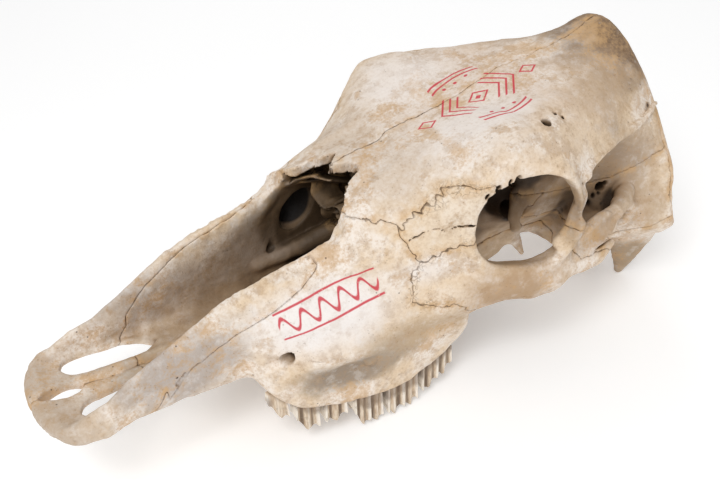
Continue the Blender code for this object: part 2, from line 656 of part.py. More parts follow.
rest = whole_skull()
bones = []
premaxilla, rest = part_off(rest, PREMAXILLA, -120, 120)
bones += both_sides(premaxilla, "premaxilla")
ethmoid, rest = part_off(rest, ETHMOID, -31, 31)
vomer, rest = part_off(rest, VOMER, -6, 6)
frontal, rest = part_off(rest, FRONTAL, -120, 120)
bones += both_sides(frontal, "frontal")
for side_name, near, far in (("left", 40, 120), ("right", -120, -40)):
    for bone, outline, depth in (("temporal", TEMPORAL, 0), ("zygomatic", ZYGOMATIC, 18), ("lacrimal", LACRIMAL, 0)):
        low, high = (near + depth, far) if side_name == "left" else (near, far - depth)
        piece, rest = part_off(rest, outline, low, high)
        piece.name = f"{bone}_{side_name}"
        bones.append(largest(piece))
palatine, rest = part_off(rest, PALATINE, -34, 34)
bones += both_sides(palatine, "palatine")
MAXILLA = [(60, -30), (292, -30), (292, 60), (272, 100), (250, 140), (60, 140)]
maxilla, rest = part_off(rest, MAXILLA, -120, 120)
for half, side in zip(both_sides(maxilla, "maxilla"), (1, -1)):
    bones.append(with_teeth(half, side))
for bone, name in ((vomer, "vomer"), (ethmoid, "ethmoid"), (rest, "occipital")):
    bone.name = name
    bones.append(largest(bone))

floor = prism([(-50, -200), (560, -200), (560, 0), (-50, 0)], -200, 200, 0)
finished = []
for bone in bones:
    name = bone.name.split(".")[0]
    laid_down(bone)
    if min(v.co.z for v in bone.data.vertices) < 0:
        standing = boolean(bone, floor, "DIFFERENCE")
        drop(bone)
        bone = standing
    bone.name = name
    finished.append(largest(bone))
drop(floor)

ends = [v.co.x for bone in finished for v in bone.data.vertices]
middle = (min(ends) + max(ends)) / 2
for bone in finished:
    bone.data.transform(Matrix.Scale(0.001, 4) @ Matrix.Translation((-middle, 0, 0)))
    bone.data.name = bone.name
    bone.data.materials.clear()
    material = bpy.data.materials.new(bone.name)
    material.use_nodes = True
    surface = material.node_tree.nodes["Principled BSDF"]
    surface.inputs["Base Color"].default_value = (0.74, 0.66, 0.52, 1)
    surface.inputs["Roughness"].default_value = 0.6
    bone.data.materials.append(material)
print("middle", round(middle, 3), {b.name: len(b.data.polygons) for b in finished})
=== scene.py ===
"""The looks of the cow skull: its bones and teeth in fine relief, and their finish.

The skull is sculpted again from the same named sizes as its solids, in mm and in
skull axes (x back from the nose, y out to the left, z up), on a finer grid, with its
foramina, cracks, broken edges and folded teeth. It is then parted along its sutures.
"""
import math

import bpy
import numpy as np
import openvdb
from mathutils import Matrix, Vector


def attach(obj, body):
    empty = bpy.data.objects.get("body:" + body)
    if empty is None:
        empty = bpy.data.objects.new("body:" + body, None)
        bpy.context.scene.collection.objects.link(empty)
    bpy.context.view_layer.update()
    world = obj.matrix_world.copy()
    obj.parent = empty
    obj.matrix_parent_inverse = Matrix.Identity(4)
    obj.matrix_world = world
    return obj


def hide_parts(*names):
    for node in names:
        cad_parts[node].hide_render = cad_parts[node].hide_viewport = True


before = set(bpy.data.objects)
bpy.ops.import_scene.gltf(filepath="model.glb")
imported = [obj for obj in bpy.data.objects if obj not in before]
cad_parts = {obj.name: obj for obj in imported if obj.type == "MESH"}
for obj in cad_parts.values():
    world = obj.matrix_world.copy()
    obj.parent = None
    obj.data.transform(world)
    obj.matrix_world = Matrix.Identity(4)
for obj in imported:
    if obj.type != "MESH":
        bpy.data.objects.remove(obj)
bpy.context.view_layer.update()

# Grid steps in mm: of the skull, of the teeth, and how many of the skull's go into one of the occipital's
STEP = 0.95
TOOTH_STEP = 0.55
OCCIPITAL_STEPS = 1.4
# Distances in mm that count as far from the bone, in a block and where it is meshed
FAR = 60.0
MESH_BAND = 10.0
# The gap at a suture and the room above the floor, in mm
SEAM_GAP = 0.04
FLOOR_GAP = 0.05
# How the skull rests: its lean in degrees, then its lift and its middle in mm
REST_LEAN = 5.6
REST_LIFT = 38.7
MIDDLE = 249.99
SIDES = {"left": 1, "right": -1}
# The camera, in skull axes: what it looks at in mm, its distance, azimuth and height in degrees, its lens
# in mm, and the shift that frames the skull
CAMERA = {"target": (240, 0, 90), "distance": 638, "azimuth": -31.1, "height": 32.3, "lens": 47.15,
          "shift": (0.0014, -0.0153)}
# Lights: name, place in m, width in m and power in W
LIGHTS = [
    ("key", (-0.75, -0.75, 1.45), 0.7, 15),
    ("fill", (0.9, -1.3, 0.7), 1.4, 3),
    ("back", (0.6, 1.2, 1.2), 1.0, 4),
]
SKY_STRENGTH = 0.5
FLOOR_HALF = 6.0
FLOOR_GLOW = 0.22

# The named sizes of the skull, as in its solids
ROOF_MIDDLE = [(205, 141), (222, 147), (261, 155), (290, 161), (318, 169), (361, 181), (396, 188),
               (418, 195), (434, 202), (444, 198), (452, 188), (458, 178)]
ROOF_AT_40 = [(205, 127), (222, 135), (245, 145), (266, 157), (290, 166), (340, 179), (375, 183),
              (400, 181), (420, 175), (440, 171), (450, 165), (458, 156)]
ROOF_AT_75 = [(205, 84), (240, 108), (258, 131), (272, 152), (288, 167), (310, 173), (340, 172),
              (360, 162), (385, 147), (400, 141), (420, 131), (450, 118), (458, 110)]
FRONTAL_EDGE = [(205, 50), (240, 62), (262, 72), (278, 82), (300, 89), (322, 94), (340, 96),
                (350, 92), (360, 87), (372, 81), (385, 76), (398, 71), (415, 66), (437, 61), (455, 56)]
FRONTAL_DEPTH = [(205, 7), (250, 9), (285, 12), (320, 20), (350, 40), (456, 60)]
FRONTAL_FRONT = [(0, 217.5), (3, 221.5), (7, 227), (12, 230.5), (17, 229.5), (21, 221), (27, 214.5),
                 (35, 210.5), (40, 208.5), (60, 205)]
FRONTAL_FRONT_FAR = [(0, 219), (6, 225), (10, 227), (12, 220), (18, 214.5), (22, 203), (28, 201), (40, 200),
                     (60, 199)]
NOSE_RIM = [(20, 40), (34, 46), (62, 61), (95, 78), (113, 89), (124, 94), (150, 101), (182, 109),
            (195, 116), (209, 125), (230, 137)]
TOOTH_LINE = [(60, 38), (78, 38), (95, 36), (128, 35), (139, 32), (145, 24), (160, 12), (180, 8),
              (205, 6), (228, 5), (245, 8), (262, 15), (275, 25), (292, 38)]
NUCHAL_ARCH = [(40, 46), (52, 62), (64, 80), (72, 85), (100, 80), (116, 76), (132, 71), (149, 63),
               (160, 54), (172, 41), (190, 19), (204, 6)]
FOSSA_WALL = [(340, 50), (356, 51), (380, 56), (400, 61), (420, 68), (440, 80), (456, 98)]
FOSSA_TOP = [(340, 129), (350, 134), (362, 138), (385, 141), (410, 142), (430, 144), (445, 149)]
FACE_HEIGHTS = (6, 24, 45, 70, 100, 130, 165)
FACE_HALF_WIDTHS = {
    60: (36, 36, 40, 40, 38, 38, 38),
    95: (33, 33, 37, 40, 38, 38, 38),
    122: (33, 33, 41, 44, 40, 38, 38),
    134: (34, 34, 42, 47, 42, 38, 37),
    143: (50, 50, 51, 50, 43, 38, 36),
    158: (59, 59, 58, 56, 46, 38, 36),
    178: (64, 64, 63, 62, 49, 38, 36),
    200: (68, 68, 67, 67, 54, 41, 37),
    230: (69, 70, 72, 74, 64, 49, 38),
    262: (67, 69, 73, 78, 76, 72, 66),
    292: (65, 68, 76, 82, 84, 84, 82),
}
ORBIT = {"centre": (309, 86, 120.5), "half": (31.5, 32.5)}
FISSURE_INNER = [(34, 23), (37, 17), (42, 13.5), (50, 12), (60, 11.3), (74, 11.3), (84, 12), (92, 14),
                 (98, 17.5)]
FISSURE_OUTER = [(34, 23), (37, 28), (44, 32), (56, 33.5), (66, 31.5), (79, 28.5), (88, 25), (98, 17.5)]

# Cheek teeth: length along the row, crown below the bone, width across, lobes on the cheek side
TEETH = {
    "premolar_2": (15, 11, 13, 1),
    "premolar_3": (17.5, 17, 16, 1),
    "premolar_4": (17.5, 17, 18, 1),
    "molar_1": (23.5, 20, 20, 2),
    "molar_2": (27.5, 18, 21, 2),
    "molar_3": (29.5, 17, 20, 2),
}
ROW_START = 141
TOOTH_GAP = 0.9
GAP_BEFORE_MOLARS = 2.6
CHEEK_SIDE = [(141, 51), (150, 56), (160, 60), (180, 65.5), (200, 69), (225, 70.5), (245, 70),
              (262, 68), (280, 65)]
CROWN_TIPS = [(141, 12), (148, 5), (157, -2), (166, -10), (176, -9.5), (186, -6), (196, -8), (204, -18),
              (212, -17.5), (218, -17.6), (232, -16), (246, -14), (258, -8), (270, -3), (280, 1)]

# Side-view outlines of the bones, (x, z) in mm
PREMAXILLA = [(-6, 10), (70, 10), (74, 36), (85, 51), (98, 65), (115, 77), (128, 85), (143, 91), (158, 98),
              (170, 104.5), (182, 116), (186, 128), (-6, 128)]
FRONTAL = [(190, 126), (209, 130.5), (222, 128), (234, 124), (243, 132), (252, 138), (260, 145), (269, 151),
           (284, 152), (300, 128), (322, 114), (343, 110), (358, 107), (380, 105), (410, 110), (436, 122),
           (448.5, 128), (449, 240), (190, 240)]
TEMPORAL = [(344, 92), (355, 80.5), (381, 78), (392, 70), (392, 10), (416, 10), (424, 48), (412, 62),
            (449, 80), (449, 135), (437, 135), (410, 130), (380, 119), (357, 106), (351, 99)]
ZYGOMATIC = [(244, 101), (238, 90), (234, 76), (251, 73), (266, 67), (282, 56), (290, 40), (400, 50),
             (400, 92), (356, 118), (330, 118), (300, 112), (285, 112), (270, 112), (258, 107)]
LACRIMAL = [(232, 126), (236, 112), (244, 101.5), (258, 107.5), (270, 112.5), (290, 112.5), (310, 118),
            (310, 160), (240, 160)]
PALATINE = [(251, 20), (360, 8), (392, 52), (380, 66), (345, 70), (300, 56), (251, 56)]
VOMER = [(104, 45.5), (250, 45.5), (290, 45.5), (290, 58), (104, 58)]
ETHMOID = [(186, 86), (232, 82), (262, 70), (262, 130), (186, 130)]
MAXILLA = [(60, -40), (292, -40), (292, 60), (272, 100), (250, 140), (60, 140)]
EVERYTHING = [(-40, -60), (520, -60), (520, 260), (-40, 260)]


def turn_of(degrees):
    """The cosine and sine of an angle."""
    return math.cos(math.radians(degrees)), math.sin(math.radians(degrees))


def smooth_min(a, b, k):
    """The lesser of two distances, with their joint rounded over k mm."""
    if k <= 0:
        return np.minimum(a, b)
    h = np.clip(0.5 + 0.5 * (b - a) / k, 0, 1)
    return b + (a - b) * h - k * h * (1 - h)


def smooth_max(a, b, k):
    return -smooth_min(-a, -b, k)


def along(stations, x):
    """A smooth curve through (place, value) stations, read at x."""
    places = np.array([s[0] for s in stations], float)
    values = np.array([s[1] for s in stations], float)
    slope = np.gradient(values, places)
    x = np.clip(x, places[0], places[-1])
    i = np.clip(np.searchsorted(places, x, side="right") - 1, 0, len(places) - 2)
    width = places[i + 1] - places[i]
    t = (x - places[i]) / width
    a, b = values[i], values[i + 1]
    p, q = slope[i] * width, slope[i + 1] * width
    return (a + t * (p + t * (3 * (b - a) - 2 * p - q + t * (p + q - 2 * (b - a))))).astype(np.float32)


def ellipse_distance(parts, radii):
    """Near enough the distance to an ellipsoid, from the offsets along its axes."""
    near = np.sqrt(sum((p / r) ** 2 for p, r in zip(parts, radii)))
    steep = np.sqrt(sum((p / r**2) ** 2 for p, r in zip(parts, radii)))
    return near * (near - 1) / np.maximum(steep, 1e-6)


def on_axis(values, axis, count=3):
    """Values laid along one axis of a block."""
    return values.reshape([-1 if k == axis else 1 for k in range(count)])


class Clay:
    """A block of the skull's space as a grid of distances to the surface."""

    def __init__(self, low, high, step):
        self.step = step
        self.low = np.array(low, float)
        counts = np.ceil((np.array(high, float) - self.low) / step).astype(int) + 1
        self.axes = [(self.low[i] + step * np.arange(counts[i])).astype(np.float32) for i in range(3)]
        self.field = np.full(counts, FAR, np.float32)

    def window(self, low, high, reach):
        """The part of the block within reach of a box."""
        cuts = []
        for i in range(3):
            first = int(math.floor((low[i] - reach - self.low[i]) / self.step))
            last = int(math.ceil((high[i] + reach - self.low[i]) / self.step)) + 1
            cuts.append(slice(max(first, 0), max(min(last, len(self.axes[i])), 0)))
        return tuple(cuts)

    def places(self, window=(slice(None),) * 3):
        return (on_axis(self.axes[i][window[i]], i) for i in range(3))

    def work(self, shape, blend, adding):
        measure, low, high = shape
        window = self.window(low, high, 2 * blend + 3 * self.step)
        if any(w.stop <= w.start for w in window):
            return
        d = measure(*self.places(window))
        old = self.field[window]
        self.field[window] = smooth_min(old, d, blend) if adding else smooth_max(old, -d, blend)

    def add(self, shape, blend=4.0):
        self.work(shape, blend, True)

    def cut(self, shape, blend=2.0):
        self.work(shape, blend, False)

    def groove(self, path, half_width, depth):
        """A crack along a side-view path of (x, z) points on the near side, a little way into the bone."""
        path = np.array(path, float)
        low = (path[:, 0].min(), 30, path[:, 1].min())
        high = (path[:, 0].max(), 110, path[:, 1].max())
        window = self.window(low, high, 4)
        x, _, z = self.places(window)
        line = path_distance(path, x, z)
        f = self.field[window]
        self.field[window] = np.maximum(f, np.minimum(half_width - line, f + depth))

    def read(self, points, field=None):
        """The field at points, straight between the grid's own."""
        field = self.field if field is None else field
        places = (points - self.low) / self.step
        top = np.array(field.shape) - 2
        corner = np.clip(np.floor(places).astype(int), 0, top)
        share = np.clip(places - corner, 0, 1)
        total = 0
        for step in np.ndindex(2, 2, 2):
            x, y, z = (share[:, i] if step[i] else 1 - share[:, i] for i in range(3))
            total = total + x * y * z * field[tuple((corner + step).T)]
        return total


def path_distance(path, x, z):
    """Distance to a side-view path."""
    best = None
    for a, b in zip(path[:-1], path[1:]):
        d = b - a
        t = np.clip(((x - a[0]) * d[0] + (z - a[1]) * d[1]) / max(d @ d, 1e-9), 0, 1)
        one = np.hypot(x - a[0] - t * d[0], z - a[1] - t * d[1])
        best = one if best is None else np.minimum(best, one)
    return best


def outline_distance(outline, x, z):
    """Signed distance to a side-view outline, negative inside."""
    path = np.array(outline + outline[:1], float)
    inside = np.zeros(np.broadcast(x, z).shape, bool)
    for a, b in zip(path[:-1], path[1:]):
        crosses = (a[1] > z) != (b[1] > z)
        rise = b[1] - a[1] if b[1] != a[1] else 1e-9
        inside ^= crosses & (x < (b[0] - a[0]) * (z - a[1]) / rise + a[0])
    d = path_distance(path, x, z)
    return np.where(inside, -d, d).astype(np.float32)


def ball(centre, radii, lean=0.0, yaw=0.0):
    """An ellipsoid. lean turns it in the side view and yaw in the top view, in degrees."""
    c, s = turn_of(lean)
    cy, sy = turn_of(yaw)

    def measure(x, y, z):
        dx, dy, dz = x - centre[0], y - centre[1], z - centre[2]
        dx, dy = cy * dx + sy * dy, -sy * dx + cy * dy
        dx, dz = c * dx + s * dz, -s * dx + c * dz
        return ellipse_distance((dx, dy, dz), radii)

    middle = np.array(centre, float)
    return measure, middle - max(radii), middle + max(radii)


def strap(points, wide, thin=None, face=(0, 1, 0)):
    """A bar along points. wide and thin are its half sizes at each point, thin along face."""
    points = np.array(points, float)
    count = len(points)
    wide = np.broadcast_to(np.array(wide, float), count)
    thin = wide if thin is None else np.broadcast_to(np.array(thin, float), count)
    faces = np.array(face, float)
    if faces.ndim == 1:
        faces = np.tile(faces, (count, 1))
    faces = faces / np.linalg.norm(faces, axis=1)[:, None]

    def measure(x, y, z):
        best = None
        for i in range(count - 1):
            a, d = points[i], points[i + 1] - points[i]
            t = np.clip(((x - a[0]) * d[0] + (y - a[1]) * d[1] + (z - a[2]) * d[2]) / (d @ d), 0, 1)
            px, py, pz = x - a[0] - t * d[0], y - a[1] - t * d[1], z - a[2] - t * d[2]
            n = [faces[i][j] + t * (faces[i + 1][j] - faces[i][j]) for j in range(3)]
            off = px * n[0] + py * n[1] + pz * n[2]
            rest = np.sqrt(np.maximum(px * px + py * py + pz * pz - off * off, 0))
            sizes = (thin[i] + t * (thin[i + 1] - thin[i]), wide[i] + t * (wide[i + 1] - wide[i]))
            one = ellipse_distance((off, rest), sizes)
            best = one if best is None else np.minimum(best, one)
        return best

    reach = float(max(wide.max(), thin.max()))
    return measure, points.min(0) - reach, points.max(0) + reach


def box(low, high, round_by):
    """A box with rounded edges."""
    low, high = np.array(low, float), np.array(high, float)

    def measure(x, y, z):
        middle, half = (low + high) / 2, (high - low) / 2 - round_by
        q = [abs(v - m) - h for v, m, h in zip((x, y, z), middle, half)]
        out = np.sqrt(sum(np.maximum(v, 0) ** 2 for v in q))
        return out + np.minimum(np.maximum(np.maximum(q[0], q[1]), q[2]), 0) - round_by

    return measure, low, high


def roof(x, y):
    """Height of the forehead, an even quartic across the skull."""
    middle, side, edge = along(ROOF_MIDDLE, x), along(ROOF_AT_40, x), along(ROOF_AT_75, x)
    p, q = side - middle, edge - middle
    c = (q - p * (75 / 40) ** 2) / (75.0**4 - 40.0**2 * 75.0**2)
    b = (p - c * 40.0**4) / 40.0**2
    y = np.minimum(abs(y), 100)
    return middle + b * y**2 + c * y**4


def face_half_width(x, z):
    """Half the width of the face at a place and height."""
    places = sorted(FACE_HALF_WIDTHS)
    z = np.clip(z, FACE_HEIGHTS[0], FACE_HEIGHTS[-1])
    total = 0
    for i, height in enumerate(FACE_HEIGHTS):
        row = along([(p, FACE_HALF_WIDTHS[p][i]) for p in places], x)
        before = FACE_HEIGHTS[i - 1] if i else height - 1
        after = FACE_HEIGHTS[i + 1] if i + 1 < len(FACE_HEIGHTS) else height + 1
        share = np.clip((z - before) / (height - before), 0, 1)
        share = share * np.clip((after - z) / (after - height), 0, 1)
        total = total + row * share * share * (3 - 2 * share)
    return total


def face():
    """The face with its tooth row and the rim of the nose."""

    def measure(x, y, z):
        side = (y - face_half_width(x, z)) * 0.94
        d = smooth_max(side, along(TOOTH_LINE, x) - z, 5)
        rim = along(NOSE_RIM, np.minimum(x, 215)) + np.maximum(x - 215, 0) * 3.0
        rim = rim + 0.5 * np.sin(x * 0.55) * np.sin(x * 0.21 + 2) + 0.25 * np.sin(x * 1.3)
        d = smooth_max(d, (z - np.minimum(rim, roof(x, y) - 1)) * 0.85, 2.5)
        d = smooth_max(d, x - 284 - np.maximum(z - 60, 0) * 0.25, 10)
        return smooth_max(d, (88 - x) * 0.9 + (z - 36) * 0.35, 4)

    return measure, (40, 0, 0), (330, 110, 200)


def nasal_cavity():
    """The open room of the nose."""

    def measure(x, y, z):
        wide = along([(50, 33), (100, 34), (200, 35), (240, 34), (268, 28)], x)
        d = smooth_max(y - wide, along([(50, 40.5), (100, 41), (130, 43.5)], x) - z, 14)
        return smooth_max(smooth_max(d, x - 262, 10), 40 - x, 4)

    return measure, (44, 0, 40), (268, 44, 210)


def forehead(front):
    """The plate of the forehead, ragged along its front edge."""

    def measure(x, y, z):
        edge = along(FRONTAL_EDGE, x)
        steep = along([(330, 0.75), (350, 1.0), (380, 2.6)], x)
        thick = np.minimum(6 + steep * np.maximum(edge - y, 0), along(FRONTAL_DEPTH, x))
        d = smooth_max((z - roof(x, y)) * 0.93, (y - edge) * 0.92, 5)
        d = smooth_max(d, (roof(x, y) - thick - z) * 0.8, 4)
        jag = 1.1 * np.sin(y * 1.7) * np.sin(y * 0.61 + 1) + 0.6 * np.sin(y * 3.3 + 0.8 * z)
        d = smooth_max(d, (along(front, y) + jag - x) * 0.8, 0.8)
        return smooth_max(d, x - 452, 8)

    return measure, (194, 0, 80), (456, 100, 206)


def nuchal_flare():
    """The hind wall of the temporal fossa, sweeping out to the nuchal crest."""

    def measure(x, y, z):
        arch = along(NUCHAL_ARCH, z)
        t = np.clip((x - 384) / 66, 0, 1)
        wide = 52 + (arch - 52) * t ** (0.8 + 0.9 * np.clip((z - 90) / 35, 0, 1))
        wide = np.minimum(wide, np.maximum(arch, 0))
        d = smooth_max((y - wide) * 0.8, (z - roof(np.minimum(x, 456), y)) * 0.9, 3)
        d = smooth_max(d, 62 - z + 0.25 * (x - 450), 8)
        d = smooth_max(d, x - (455 - 0.10 * np.maximum(120 - z, 0)), 4)
        return smooth_max(d, 385 - x, 6)

    return measure, (380, 0, 40), (462, 96, 206)


def orbit_mouth():
    """The opening of the eye socket."""

    def measure(x, y, z):
        across = x - ORBIT["centre"][0] - (y - 86) * 0.20 - (z - ORBIT["centre"][2]) * 0.06
        up = z - ORBIT["centre"][2]
        rim = (abs(across / ORBIT["half"][0]) ** 2.3 + abs(up / ORBIT["half"][1]) ** 2.3) ** (1 / 2.3) - 1
        return smooth_max(rim * 30, 54 - y, 8)

    return measure, (270, 48, 80), (352, 120, 156)


def temporal_fossa():
    """The hollow behind the eye socket."""

    def measure(x, y, z):
        inner = along(FOSSA_WALL, x) - y
        top = z - along(FOSSA_TOP, x)
        d = smooth_max(inner, top, 9)
        d = smooth_max(d, 347 + 0.10 * (y - 86) - x, 6)
        return smooth_max(smooth_max(d, x - 428, 10), 40 - z, 4)

    return measure, (340, 46, 40), (430, 120, 152)


def premaxilla_plate():
    """The flat front of the skull."""

    def measure(x, y, z):
        outer = ((abs(np.minimum(x, 48) - 48) / 38) ** 2.6 + (abs(y) / 45) ** 2.6) ** (1 / 2.6)
        side = along([(44, 45), (52, 41.5), (62, 38), (75, 36.5), (104, 36)], x)
        edge = smooth_max((outer - 1) * 38, y - side, 3)
        level = 38.5 - 2.5 * np.clip((20 - x) / 20, 0, 1)
        thick = 2.4 + 2.4 * np.clip((32 - x) / 12, 0, 1) + 3.4 * np.clip((y - 32) / 6, 0, 1)
        flat = abs(z - level) - np.minimum(thick, 6.2)
        return smooth_max(smooth_max(edge, flat, 4), x - 106, 4)

    return measure, (4, 0, 26), (110, 48, 50)


def palatine_fissure():
    """The long hole through the palate."""

    def measure(x, y, z):
        inner, outer = along(FISSURE_INNER, x), along(FISSURE_OUTER, x)
        return np.maximum(abs(y - (inner + outer) / 2) - (outer - inner) / 2, abs(x - 66) - 32) + 0 * z

    return measure, (30, 4, 20), (102, 38, 60)


def incisive_gap():
    """The gap between the front ends."""

    def measure(x, y, z):
        half = 5.4 * np.sqrt(np.clip(1 - ((x - 29) / 14) ** 2, 0, 1))
        return np.maximum(y - half, abs(x - 29) - 14) + 0 * z

    return measure, (12, 0, 20), (46, 8, 60)


# Which way the leaf of the cheek arch faces at each point, and the notches in the orbit's rim with
# their sizes
ARCH_FACES = [(-0.15, 0.95, 0.25), (-0.2, 0.93, 0.3), (-0.25, 0.9, 0.35), (-0.35, 0.85, 0.4),
              (-0.45, 0.8, 0.45), (-0.6, 0.6, 0.5)]
ORBIT_NOTCHES = [((287, 84, 149), 1.8), ((294, 86, 152.5), 1.4), ((299, 87, 153.5), 2.0),
                 ((281, 83, 144), 1.3)]


def fine_forms(clay):
    """Forms too fine for the solids: the leaf-like arch, the orbit's lip and notches, the temporal line."""
    clay.cut(strap([(348, 99.5, 86), (362, 97, 91), (378, 93.2, 94), (392, 88, 97)], (5, 8, 7, 4), 5.6,
                   face=ARCH_FACES[:4]), 3)
    turns = np.linspace(1.05 * np.pi, 1.95 * np.pi, 15)
    lip = [(308.5 - 37.5 * np.cos(t), 89.5 - 10 * np.cos(t), 119 + 37 * np.sin(t)) for t in turns]
    clay.add(strap(lip, 2.6), 4)
    for place, size in ORBIT_NOTCHES:
        clay.cut(ball(place, (size, 9, size * 1.5)), 1)
    clay.cut(strap([(120, 60, 41), (134, 58, 45), (146, 54, 50)], (3, 4, 4)), 5)
    clay.cut(ball((190, 77, 33), (30, 12, 11), lean=8), 6)
    clay.add(ball((208, 67, 37), (4, 3, 3)), 3)
    # temporal line, and the crease under it
    clay.cut(strap([(354, 94, 134), (368, 88, 136), (384, 82.5, 137), (400, 78, 138.5), (416, 75, 140),
                    (430, 72, 143), (441, 68, 151)], (4, 6, 7, 7.5, 8, 7.5, 5)), 4)
    clay.add(strap([(352, 90, 140), (362, 84.5, 143), (376, 78.5, 145), (396, 71, 147), (416, 65.5, 148),
                    (431, 61.5, 150), (443, 58, 158)], (1.6, 2.2, 2.4, 2.4, 2.4, 2.4, 1.6)), 4)


def sculpt_side(step, front):
    """One half of the skull, y >= 0, with the forehead's own front edge."""
    clay = Clay((-2.2, 0, -6), (480, 110, 212), step)
    clay.add(face(), 0)
    clay.add(ball((196, 61, 50), (30, 10, 10), yaw=6), 12)
    clay.cut(nasal_cavity(), 3)
    # braincase, forehead and base
    clay.add(ball((372, 0, 122), (80, 52, 62)), 6)
    clay.add(ball((330, 0, 105), (60, 36, 48)), 14)
    clay.add(ball((425, 0, 120), (34, 62, 62)), 14)
    clay.add(forehead(front), 12)
    clay.add(nuchal_flare(), 8)
    clay.add(strap([(300, 0, 74), (350, 0, 64), (400, 0, 60), (452, 0, 62)],
                   (22, 22, 26, 34), (16, 12, 12, 14), face=(0, 0, 1)), 10)
    # inside of the nose
    clay.cut(ball((222, 33, 84), (38, 8.5, 30), lean=-18), 5)
    clay.cut(strap([(187, 36.5, 57), (189, 37, 66), (193, 36, 76)], (2.5, 3.5, 3), (3, 3, 2)), 1)
    clay.cut(ball((214, 43, 94), (12.5, 15, 18), lean=-32), 1)
    clay.add(strap([(180, 39, 61), (213, 35, 66), (238, 32, 74), (262, 26, 84)], (6, 6.5, 7, 8)), 3)
    clay.add(ball((270, 0, 98), (20, 26, 34)), 8)
    clay.add(strap([(232, 22, 98), (258, 21, 96)], (9, 10), (5, 6), face=(0, 1, 0.3)), 3)
    clay.add(strap([(208, 37, 118), (226, 33, 118), (248, 28, 112)], (7, 9, 9), (1.8, 1.8, 2),
                   face=(0, 0.35, 1)), 3)
    # orbit
    turns = np.linspace(0, 2 * np.pi, 25)
    ring = [(308.5 - 35.5 * np.cos(t), 85.5 - 10.5 * np.cos(t), 119 + 36 * np.sin(t)) for t in turns]
    wide = [6 + 5 * max(0, -np.sin(t)) ** 2 - 1.5 * max(0, -np.cos(t)) ** 2 for t in turns]
    clay.add(strap(ring, wide, [4.5 + 1.5 * max(0, -np.sin(t)) for t in turns], face=(-0.27, 0.95, 0.1)), 6)
    clay.cut(orbit_mouth(), 2.5)
    clay.cut(strap([(312, 92, 119), (322, 60, 112), (332, 36, 104)], (29, 24, 12)), 6)
    clay.cut(temporal_fossa(), 6)
    clay.cut(strap([(311, 53, 90), (315, 55, 60), (319, 56, 30)], (22, 26, 28)), 6)
    clay.add(strap([(344, 44, 108), (339, 47, 96), (337, 48, 87)], (12, 9, 5), (5, 4, 3)), 4)
    # bar behind the orbit
    clay.add(strap([(354, 88, 137), (349.5, 91, 124), (344.5, 93, 116), (340.5, 94, 109), (335, 94, 100)],
                   (6, 4.6, 4.3, 4.5, 6.5), (4, 3.6, 3.5, 3.8, 4.5), face=(-0.27, 0.95, 0.1)), 3)
    # zygomatic arch
    clay.add(strap([(258, 75, 70), (280, 80, 73), (300, 86, 75), (318, 91, 73), (330, 93, 72), (344, 94, 76)],
                   (15, 16, 14.5, 15, 13, 6), (6, 6, 6, 5.5, 5, 3.6), face=(-0.2, 0.95, -0.2)), 6)
    clay.add(strap([(330, 94, 74), (346, 94, 76), (360, 93, 74.5), (373, 91, 73.5), (388, 88, 78)],
                   (7, 6, 7.5, 7.5, 3), (4, 3.8, 3.6, 3.4, 2.4)), 4)
    clay.add(strap([(340, 93.5, 86), (361, 91, 91), (381, 86, 94.5), (394, 82, 97.5), (406, 76, 98),
                    (418, 66, 99)],
                   (6.5, 10.5, 9.5, 6, 5.5, 7), (2.6, 3, 3.2, 3.4, 4.5, 7), face=ARCH_FACES), 3)
    clay.add(strap([(404, 75, 97), (416, 73, 92), (424, 73, 86), (433, 75, 77), (446, 79, 68), (452, 82, 72)],
                   (4.4, 3.8, 3.4, 3.2, 3.2, 3.2)), 5)
    clay.add(ball((393, 62, 83), (17, 20, 8)), 7)
    # condyles, foramen magnum, jugular processes, ears
    clay.add(ball((458, 27, 62), (16, 18, 22), yaw=-20), 8)
    clay.cut(strap([(480, 0, 84), (448, 0, 84), (430, 0, 86)], (18, 16, 10)), 4)
    clay.add(strap([(434, 66, 70), (441, 59, 50), (447, 51.5, 27), (451, 45, 9)], (23, 17, 9.5, 3.6),
                   (9, 5, 4, 3.4), face=(-0.476, 0.777, -0.411)), 5)
    clay.add(ball((410, 42, 50), (20, 13, 20)), 6)
    clay.add(strap([(404, 38, 44), (384, 33, 26)], (7, 2.2)), 4)
    clay.add(strap([(412, 48, 76), (416, 68, 80)], (10, 7)), 5)
    # pterygoids, palate, floor of the nose, vomer
    clay.add(strap([(276, 22, 48), (310, 22, 52), (336, 23, 60), (364, 22, 71)], (20, 18, 14, 7),
                   (3.5, 3, 3, 3)), 5)
    clay.add(strap([(350, 23, 64), (360, 24, 54), (366, 25, 42)], (8, 4.5, 2.2), (3, 2.6, 2)), 3)
    clay.cut(strap([(146, 0, 4), (200, 0, 4), (270, 0, 4), (330, 0, 12)],
                   (34, 34, 35, 40), (38, 45, 47, 22)), 5)
    clay.add(box((96, 0, 36), (280, 40, 43), 3), 4)
    clay.add(box((112, -4, 40), (286, 2.4, 54), 1.5), 3)
